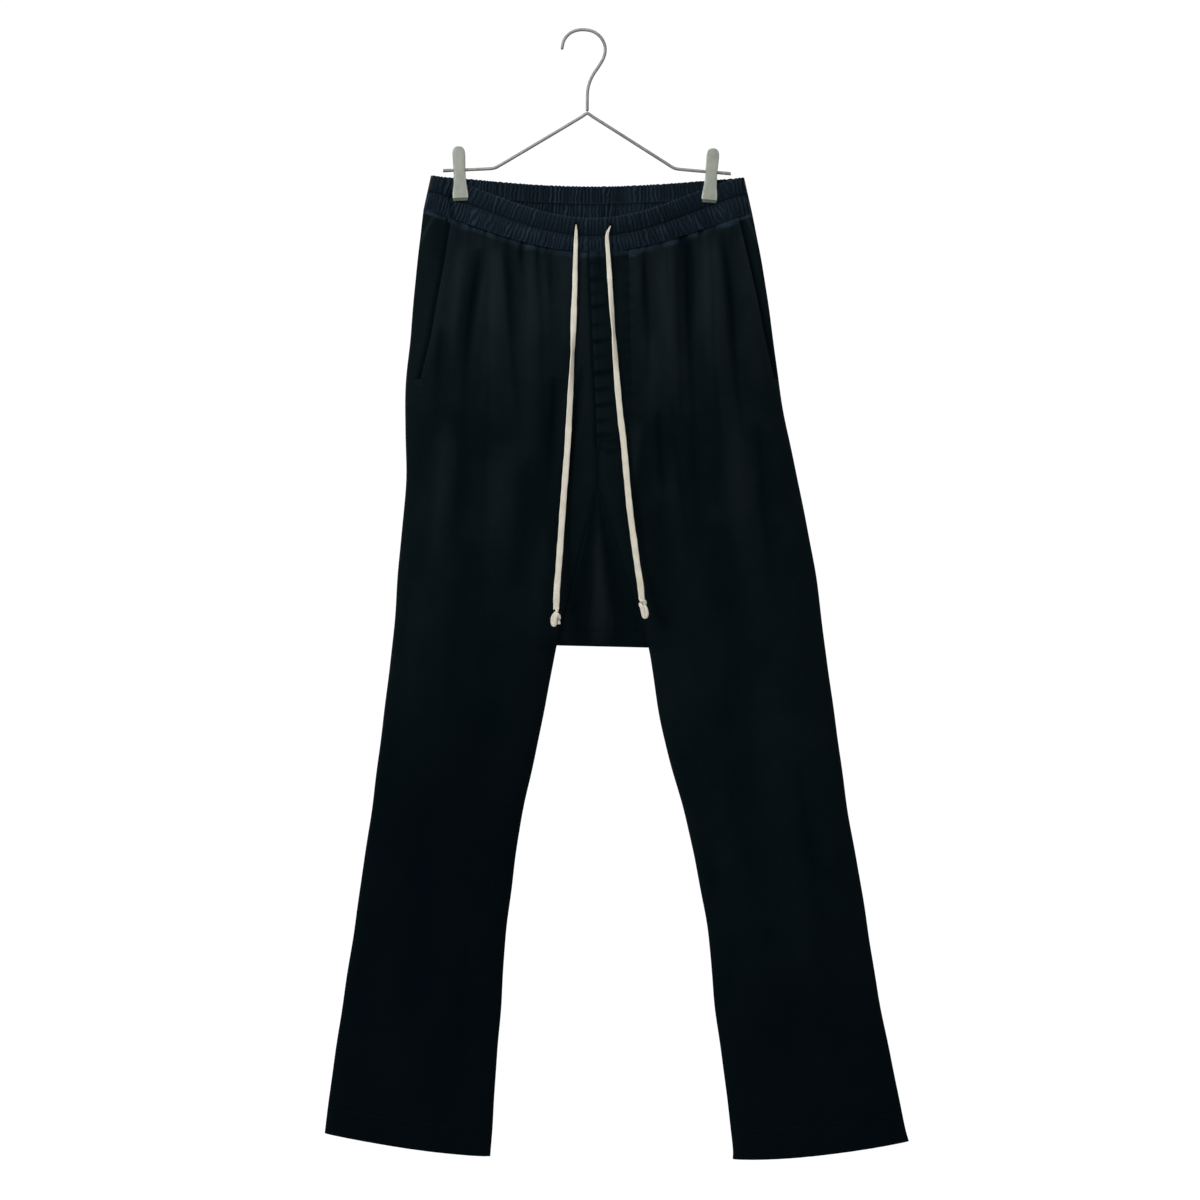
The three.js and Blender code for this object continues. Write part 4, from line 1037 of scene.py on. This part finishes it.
def placket():
    """The fly: lapped over the fronts, folded thick at its edge and stitched down along its curve."""
    station = np.linspace(0, PLACKET_END, 150)
    left = np.interp(station, PLACKET["station"], PLACKET["left"])[:, None]
    right = np.interp(station, PLACKET["station"], PLACKET["right"])[:, None]
    t = np.linspace(0, 1, 45)[None, :]
    x = lerp(left, right, t)
    centre = straight(RIGHT_ROWS["inner_x"], station)[:, None]
    points, relief_shade = [], []
    for leg in (RIGHT, LEFT):
        outer_x = smooth(leg.rows["outer_x"], station)[:, None]
        share = np.clip((x - outer_x) / (centre - outer_x), 0, 1)
        grid, low = body_grid(leg, FRONT, np.broadcast_to(station[:, None], share.shape), share)
        points.append(grid)
        relief_shade.append(low)
    on_right = (x < centre)[..., None]
    under = np.where(on_right, points[0], points[1])
    low = np.where(on_right[..., 0], relief_shade[0], relief_shade[1])
    under[..., 0] = x
    z = under[..., 2]
    pucker = np.zeros(x.shape)
    for at, depth, reach in zip(FLY_PUCKERS["z"], FLY_PUCKERS["depth"], FLY_PUCKERS["reach"]):
        along = np.clip(1 - (x - left) / reach, 0, 1)
        pucker = pucker + 2 * depth * along ** 0.7 * bell(z - at - 0.12 * (x - left), 2.4)
    pucker = pucker + 0.5 * fly_end_pucker(x, z)
    edge = smoothstep(t, 0, 0.05)
    folded_edge = bell(t - 0.06, 0.05)
    lap = lerp(1.7, 0.35, smoothstep(t, 0.45, 0.97))
    lap = lap * lerp(1, 0.25, smoothstep(station, PLACKET_END - 0.12, PLACKET_END)[:, None])
    lift = lap * (0.35 + 0.65 * edge) + 0.5 * folded_edge - pucker * 0.8
    outer = under.copy()
    outer[..., 1] -= np.maximum(lift, 0.12)
    inner = under.copy()
    inner[..., 1] -= 0.05
    strip_mask = 0.4 * (1 - smoothstep(station, 0.09, 0.15))[:, None] * np.ones(x.shape)
    fade = 0.16 + 0.22 * folded_edge * np.ones(x.shape)
    # Painted shade of the folds under the fly and in its puckers; a lighter fold edge
    obj = shell("fly_cloth", outer, inner, uv_of(outer), tone_of(low * 0.8 + pucker * 4, fade, strip_mask))
    dress(obj, BODY, "body_cloth", "fly_placket")
    return obj, outer


fly, fly_surface = placket()


# Waistband

def band_grid(leg, face, height, share):
    """Points of half a waistband before its gathers: height runs down it, share inward from the side."""
    rows = leg.rows
    top_z = BAND_TOP_FRONT_Z if face == FRONT else BAND_TOP_BACK_Z
    bottom_z = rows[f"{FACE_NAME[face]}_z"][0] + SEAM
    sag = lerp(SAG_TOP, SAG_BOTTOM, height) if face == FRONT else SAG_BACK
    outer_x = lerp(leg.band_top[0], rows["outer_x"][0], height)
    outer_z = lerp(leg.band_top[1], rows["outer_z"][0] + SEAM, height)
    z = lerp(outer_z, lerp(top_z, bottom_z, height), np.sin(share * math.pi / 2) ** sag)
    x = lerp(outer_x, rows["inner_x"][0], share)
    y = face * (SEAM / 2 + waist_depth(leg, face, share))
    return np.stack(np.broadcast_arrays(x, y, z), axis=-1)


def rib_profile(place, seed, spacing):
    """Uneven elastic gathers along a band: 1 on a ridge and 0 in a groove."""
    dice = np.random.default_rng(seed)
    steps = dice.uniform(0.72, 1.34, RIBS) * spacing
    at = np.cumsum(steps) - RIBS_START
    size = dice.uniform(0.62, 1.08, RIBS)
    phase = np.interp(place, at, np.arange(RIBS))
    wave = 1 - (0.5 + 0.5 * np.cos(2 * math.pi * phase)) ** 1.8
    return wave * np.interp(phase, np.arange(RIBS) + 0.5, size)


def inside_of_panels(face, share):
    """How deep the panels' inner faces lie at the waist seam, so the band's seam allowance can reach them."""
    depths = []
    for leg, run in ((RIGHT, share), (LEFT, share[::-1])):
        top, _ = body_grid(leg, face, np.zeros(len(run)), run)
        tucked = 2.2 * (run < leg.pocket["share"][0] + 0.1) * (face == FRONT)
        depths.append(top[:, 1] * face - CLOTH - 0.3 - tucked)
    return np.concatenate([depths[0], depths[1][1:]])[None, :]


def waistband(face):
    """The front or back of the elastic waistband, with the line that its two tiers are stitched along."""
    heights = np.concatenate([
        [0, 0.012, 0.03, 0.06], np.linspace(0.1, 0.4, 8), np.linspace(0.43, 0.55, 9),
        np.linspace(0.6, 0.9, 8), [0.94, 0.97, 0.99, 1],
    ])
    share = np.linspace(0, 1, 231) ** 1.04
    height = heights[:, None]
    lower_tier = 0.05 * np.sin(math.pi * height) * smoothstep(share[None, :], 0.2, 1) * (face == FRONT)
    right = band_grid(RIGHT, face, height + lower_tier, share[None, :])
    left = band_grid(LEFT, face, height + lower_tier[:, ::-1], share[None, ::-1])
    base = np.concatenate([right, left[:, 1:]], axis=1)
    shares = np.concatenate([share, share[::-1][1:]])[None, :]
    x, z = base[..., 0], base[..., 2]
    middle = z[len(heights) // 2][None, :]
    slope = np.gradient(middle[0]) / np.gradient(x[len(heights) // 2])
    place = x + slope[None, :] * (z - middle) + 2.8 * ripple(x, x * 0, 19, 71) * (height - 0.5)
    place = place + 0.7 * ripple(x, 1.5 * z, 11, 75)
    free = smoothstep(shares, 0.004, 0.02)
    upper_seed, lower_seed, inside_seed = (61, 63, 67) if face == FRONT else (62, 64, 68)
    upper = rib_profile(place, upper_seed, 4.3)
    lower = rib_profile(place + 1.2 * ripple(x, x * 0, 17, 73), lower_seed, 3.9)
    fine = rib_profile(place, 65, 2.3)
    blend = smoothstep(height, 0.47, 0.51)
    rib = lerp(upper, lower, blend) * 0.85 + fine * 0.15
    stitch = bell(height - TIER_LINE, 0.03)
    rim = smoothstep(height, 0, 0.07)
    foot = 1 - 0.5 * smoothstep(height, 0.93, 1)
    puff = 0.55 * np.sin(2 * math.pi * np.minimum(height, 1 - height)) ** 2
    raised = free * (1.6 * rib * (0.5 + 0.5 * rim) * foot * (1 - 0.6 * stitch) + puff - 0.45 * stitch)
    raised = raised - 0.5 * (1 - smoothstep(height, 0, 0.03))
    if face == FRONT:
        bite = bell(x - NOTCH_X + 0.05 * (z - NOTCH_Z), 2.1) * smoothstep(height, 0.2, 0.5)
        raised = raised - 2.0 * bite
        holes = sum(bell(x - hole_x, 3.2) * bell(z - hole_z, 5.5) for _, hole_x, _, hole_z, _ in BUTTONHOLES)
        raised = raised - 0.5 * holes
    normal = normals_of(base) * (1, 1, 0)
    normal = unit(normal) * np.sign(normal[..., 1:2] * face + 1e-9)
    outer = base + normal * raised[..., None]
    inside_rib = rib_profile(place, inside_seed, 3.7) * free
    inner = base - normal * (BAND_WALL - 1.2 * inside_rib * (1 - 0.7 * stitch))[..., None]
    scallop = 0.9 * (rib - 0.6) * free * (1 - smoothstep(height, 0, 0.06))
    outer[..., 2] += scallop
    inner[..., 2] += scallop
    inside = inner[..., 1] * face
    turned_in = np.minimum(inside, inside_of_panels(face, share))
    inner[..., 1] = face * lerp(inside, turned_in, smoothstep(height, 0.96, 0.99))
    for grid in (outer, inner):
        grid[..., 1] = face * np.maximum(grid[..., 1] * face, SEAM / 2)
    # Painted shade in the grooves between ribs and painted light on their crests, a lighter top rim, painted
    # shade over the upper tier and painted shadow in the crease under the clip
    relief_shade = 6.8 - 9.6 * rib * (1 - 0.4 * stitch) - 5 * (1 - smoothstep(height, 0, 0.03))
    if face == FRONT:
        centre = bell(x - 12, 75)
        upper_shade = smoothstep(height, 0.05, 0.4) * (1 - smoothstep(height, 0.5, 0.58))
        relief_shade = relief_shade + 13 * bite + (1.6 + 1.5 * centre) * upper_shade
    # A lighter top rim and foot, with painted highlights on the rib crests and painted light in streaks on
    # the lower tier
    worn = 1.1 * (1 - smoothstep(height, 0, 0.03)) + 0.35 * rib ** 3 + 0.25 * smoothstep(height, 0.94, 1)
    worn = worn + 0.3 * smoothstep(height, 0.55, 0.62) * (0.6 + 0.8 * ripple(x, z, 24, 79))
    tone = tone_of(relief_shade, worn * np.ones(x.shape))
    obj = shell(f"band_{FACE_NAME[face]}_cloth", outer, inner, uv_of(base), tone, smooth_angle=75)
    dress(obj, BAND, "waistband_cloth", f"waistband_{FACE_NAME[face]}")
    stitched = np.argmin(np.abs(heights - TIER_LINE))
    return obj, outer[stitched], inner[stitched], normal[stitched]


band_front, front_stitch, _, front_normal = waistband(FRONT)
band_back, back_stitch, back_inside, back_normal = waistband(BACK)


# Stitches, joined along each seam

def stitch_row(line, normal, long=2.4, pitch=3.3, radius=0.26, lift=0.12):
    """Small thread capsules along a line of points, lying on the cloth."""
    parts = []
    for start in np.arange(pitch / 2, run_along(line)[-1] - long, pitch):
        at = start + np.linspace(0, long, 4)
        points = points_at(line, at)
        out = points_at(line, at, normal)
        bow = np.array([-0.12, lift, lift, -0.12])[:, None]
        size = radius * np.array([0.55, 1, 1, 0.55])
        parts.append(tube(points + out * bow, np.stack([size, size], axis=1), 6, up=out[0]))
    return parts


def seam_thread(name, parts, material, slot):
    points, faces = joined(parts)
    obj = mesh_of(name, points, faces, smooth_angle=80)
    return dress(obj, material, slot)


def surface_line(leg, face, station, share, lift=0.05):
    """Points on a panel along stations and shares, with the directions out of the cloth."""
    station, share = np.asarray(station, float), np.asarray(share, float)
    points, _ = body_grid(leg, face, station, share)
    step = 0.004
    ahead, _ = body_grid(leg, face, station, np.minimum(share + step, 1))
    before, _ = body_grid(leg, face, station, np.maximum(share - step, 0))
    run = ahead - before
    normal = np.stack([-run[:, 1], run[:, 0], np.zeros(len(run))], axis=1)
    normal = unit(normal) * np.sign(normal[:, 1:2] * face + 1e-9)
    return points + normal * lift, normal


body_parts = []
for leg in (RIGHT, LEFT):
    across = np.linspace(0.012, 0.988, 160)
    for face in (FRONT, BACK):
        body_parts += stitch_row(*surface_line(leg, face, np.full(160, float(HEM_LINE)), across))
    station = np.linspace(0.16, POCKET_END - 0.02, 90)
    width = np.abs(smooth(leg.rows["outer_x"], station) - straight(leg.rows["inner_x"], station))
    pocket = pocket_share(leg, station)
    body_parts += stitch_row(*surface_line(leg, FRONT, station, pocket + 7 / width))
    for shift in np.arange(8) + 0.5:
        tack_share = np.full(6, pocket[-1] + shift / width[-1])
        tack = surface_line(leg, FRONT, np.linspace(*POCKET_TACK, 6), tack_share)
        body_parts += stitch_row(*tack, long=1.8, pitch=2.4)
seam_thread("stitches_body", body_parts, THREAD_BLACK, "body_cloth")

column, bottom = fly_surface[6:, -3], fly_surface[-5, 2:-2]
fly_parts = stitch_row(column, np.tile([0.0, -1.0, 0.0], (len(column), 1)), lift=0.2)
fly_parts += stitch_row(bottom, np.tile([0.0, -1.0, 0.0], (len(bottom), 1)), lift=0.25)
seam_thread("stitches_fly", fly_parts, THREAD_BLACK, "body_cloth")

band_parts = []
for line, normal in ((front_stitch, front_normal), (back_stitch, back_normal), (back_inside, -back_normal)):
    band_parts += stitch_row(line[6:-6], normal[6:-6], 2.0, 2.7, 0.22)
seam_thread("stitches_band", band_parts, THREAD_NAVY, "waistband_cloth")


def buttonhole(side, x, y, z, lean):
    """A thread-bound slot: close satin stitches all round a narrow hole."""
    parts = []
    for cos, sin in zip(*loop(HOLE_STITCHES)):
        inner, outer = (np.array([wide * cos, 0, high * sin]) for wide, high in (HOLE_INNER, HOLE_OUTER))
        path = np.stack([lerp(inner, outer, t) for t in (0, 0.3, 0.7, 1)])
        path[:, 1] = [-0.25, -0.62, -0.62, -0.2]
        parts.append(tube(path, (0.27, 0.27), 6, up=(0, 1, 0.02)))
    points, faces = joined(parts)
    points = points @ tilt(lean) + np.array([x, y, z])
    obj = mesh_of(f"buttonhole_{side}_thread", points, faces, smooth_angle=80)
    return dress(obj, THREAD_NAVY, "buttonhole_thread", f"buttonhole_{side}")


for entry in BUTTONHOLES:
    buttonhole(*entry)


# Hanger

def wire_path(path, count):
    flat = curve_points(path, count)
    return np.stack([flat[:, 0], np.zeros(len(flat)), flat[:, 1]], axis=1)


def rounded_tube(line, radius, sides):
    """A wire with both ends rounded off."""
    along = run_along(line)
    from_end = np.minimum(along, along[-1] - along)
    size = radius * np.sqrt(np.clip(1 - (1 - np.minimum(from_end / radius, 1)) ** 2, 0.02, 1))
    return tube(line, np.stack([size, size], axis=1), sides)


def knurl(x, z):
    """One raised ring round the wire."""
    rings, sides = 24, 8
    cos, sin = loop(rings)
    out = np.stack([0 * cos, cos, sin], axis=1)[:, None]
    cos, sin = (wave[:, None] for wave in loop(sides))
    points = np.array([x, 0, z]) + out * (WIRE / 2 - 0.05)
    points = points + KNURL_WIRE * (cos * out + sin * np.array([1.0, 0, 0]))
    return points.reshape(-1, 3), [quads(looped(looped(grid_index(rings, sides).T).T))]


def wire_piece(name, parts, node):
    points, faces = joined(parts)
    dress(mesh_of(name, points, faces, smooth_angle=60), METALS["wire_steel"], "hanger_wire", node)


arm_line = wire_path(ARMS, 420)
knurls = [
    knurl(x, np.interp(x, arm_line[:, 0], arm_line[:, 2]))
    for start, end in KNURLED for x in np.arange(start, end, KNURL_PITCH)
]
wire_piece("hook_wire", [rounded_tube(wire_path(HOOK, 220), WIRE / 2, 20)], "hanger_hook")
wire_piece("arms_wire", [rounded_tube(arm_line, WIRE / 2, 20)] + knurls, "hanger_arms")


def clip_plate(side, face, x, z, lean):
    """One pressed plate of a clip: crowned, with its sides bent in above the cloth and a jaw lip."""
    drop = LIP_DROP if face == BACK else 0
    along = np.concatenate([np.linspace(0, 0.09, 24), np.linspace(0.1, 1, 58)])
    half = smooth(PLATE_OUTLINE["half"], along * 8)
    outline_z = smooth(PLATE_OUTLINE["z"], along * 8)
    height = outline_z - drop * (1 - smoothstep(outline_z, -34, -26))
    t = np.concatenate([np.linspace(-1, -BEVEL, 7), np.linspace(-0.7, 0.7, 15), np.linspace(BEVEL, 1, 7)])
    t = t[None, :]
    bent = smoothstep(np.abs(t), 0.8, 1) ** 1.4
    above = smoothstep(outline_z, -24, -16)[:, None]
    crown = 0.35 * (1 - t ** 2)
    lip = 0.7 * (1 - smoothstep(outline_z, -32.2, -31.6))[:, None]
    lip = lip + 1.3 * bell(outline_z - LIP_Z, 0.42)[:, None] * (face == FRONT)
    y = JAW_GAP + PLATE + CLIP_SPREAD * (height[:, None] + JAW_REACH) + crown
    y = y - FLANGE * bent * above - 0.9 * bent - lip - 0.22 * bell(np.abs(t) - BEVEL, 0.05)
    px = half[:, None] * t * (1 - 0.05 * bent)
    outer = np.stack(np.broadcast_arrays(px, face * y, height[:, None]), axis=-1)
    inner = outer.copy()
    inner[..., 1] -= face * PLATE
    inner[..., 0] *= 1 - 0.09 * bent
    place = np.array([x, 0, z])
    outer = outer @ tilt(lean) + place
    inner = inner @ tilt(lean) + place
    uv = np.stack([outer[..., 0], outer[..., 2]], axis=-1) * MM
    name = f"clip_{FACE_NAME[face]}_{side}"
    obj = shell(f"{name}_plate", outer, inner, uv, tone_of(np.zeros(px.shape)), smooth_angle=42)
    dress(obj, METALS["clip_lacquer"], "clip_steel", name)
    # Faces below the lip get the painted shade, and the bevelled sides the painted highlight
    obj.data.materials.append(METALS["clip_lip_painted_shade"])
    obj.data.materials.append(METALS["clip_bevel_painted_highlight"])
    upward = np.argsort(outline_z)
    for polygon in obj.data.polygons:
        at_x, _, at_z = (np.array(polygon.center) / MM - place) @ tilt(lean).T
        if at_z < LIP_Z:
            polygon.material_index = 1
        elif at_z < BEVEL_TOP_Z and abs(at_x) > BEVEL * np.interp(at_z, outline_z[upward], half[upward]):
            polygon.material_index = 2


def clip_spring(side, x, z, lean):
    """The coil spring round the wire, its two arms against the plates, and a cone at each side."""
    turns = np.linspace(0, COIL_TURNS * 2 * math.pi, COIL_TURNS * 26)
    run = np.linspace(-COIL_LENGTH / 2, COIL_LENGTH / 2, len(turns))
    coil = np.stack([run, COIL_RADIUS * np.cos(turns), COIL_RADIUS * np.sin(turns)], axis=1)
    parts = [tube(coil, (COIL_WIRE / 2, COIL_WIRE / 2), 8, up=(1, 0, 0.01))]
    for face, at in ((FRONT, -COIL_LENGTH / 2 + 0.7), (BACK, COIL_LENGTH / 2 - 0.7)):
        arm = [(at, face * COIL_RADIUS, 0), (at * 0.9, face * (COIL_RADIUS + 0.1), 4),
               (at * 0.7, face * 4.2, 9), (at * 0.5, face * 4.4, 14)]
        parts.append(tube(curve_points(arm, 20), (COIL_WIRE / 2, COIL_WIRE / 2), 8, up=(1, 0, 0.01)))
    for end in (-1, 1):
        cone = [(end * (COIL_LENGTH / 2 + out), 0, 0) for out in (0.2, 0.5, 1.1)]
        parts.append(tube(cone, [(2.7, 2.7), (2.6, 2.6), (1.78, 1.78)], 20))
    points, faces = joined(parts)
    obj = mesh_of(f"clip_coil_{side}", points @ tilt(lean) + np.array([x, 0, z]), faces, smooth_angle=60)
    return dress(obj, METALS["wire_steel"], "clip_steel", f"clip_spring_{side}")


for side, x, z, lean in CLIPS:
    clip_plate(side, FRONT, x, z, lean)
    clip_plate(side, BACK, x, z, lean)
    clip_spring(side, x, z, lean)


# Studio

def pale_material(name, colour):
    nodes, place = new_material(name)
    cloud = nodes.times(nodes.noise(place, 2), 0.1)
    return nodes.shade({"Base Color": nodes.mixed(cloud, colour, (0.9, 0.9, 0.9, 1)), "Roughness": 0.9})


def floor():
    """A plain pale floor under the hanging garment."""
    x, y = np.meshgrid(np.linspace(-1300, 1300, 9), np.linspace(-1150, 950, 9))
    points = np.stack([x, y, np.full(x.shape, FLOOR_Z)], axis=-1).reshape(-1, 3)
    obj = mesh_of("studio_floor", points, [quads(grid_index(9, 9))])
    obj.data.materials.append(pale_material("studio_pale", (0.86, 0.86, 0.86, 1)))


def studio_air():
    """White all round for the picture, and a soft weaker light from everywhere on the garment."""
    world = bpy.data.worlds.new("studio_air")
    nodes = Nodes(world)
    seen = nodes.node("ShaderNodeLightPath").outputs[0]
    level = nodes.remap(seen, 0.0, 1.0, SOFT_LIGHT, 1.03)
    nodes.give(nodes.tree.nodes["Background"], {"Color": (1, 1, 1, 1), "Strength": level})
    bpy.context.scene.world = world


def area_light(name, place, target, size, power):
    data = bpy.data.lights.new(name, "AREA")
    data.shape = "RECTANGLE"
    data.size, data.size_y = size
    data.energy = power
    light = collection_add(bpy.data.objects.new(name, data))
    light.location = place
    light.rotation_euler = (Vector(target) - Vector(place)).to_track_quat("-Z", "Y").to_euler()


floor()
studio_air()
for light in [
    ("key", (-2.0, -2.0, 0.5), (0, 0, -0.5), (0.9, 1.4), 38),
    ("fill", (2.4, -2.4, -0.2), (0, 0, -0.7), (1.8, 2.4), 10),
    ("top", (-0.2, -1.0, 1.1), (0, 0, -0.4), (1.6, 0.7), 16),
    ("back_left", (-1.8, 2.2, 0.5), (0, 0, -0.5), (0.9, 1.4), 30),
    ("back_right", (2.0, 2.0, 0.4), (0, 0, -0.6), (0.9, 1.4), 12),
]:
    area_light(*light)
bpy.context.scene.view_settings.view_transform = "Standard"
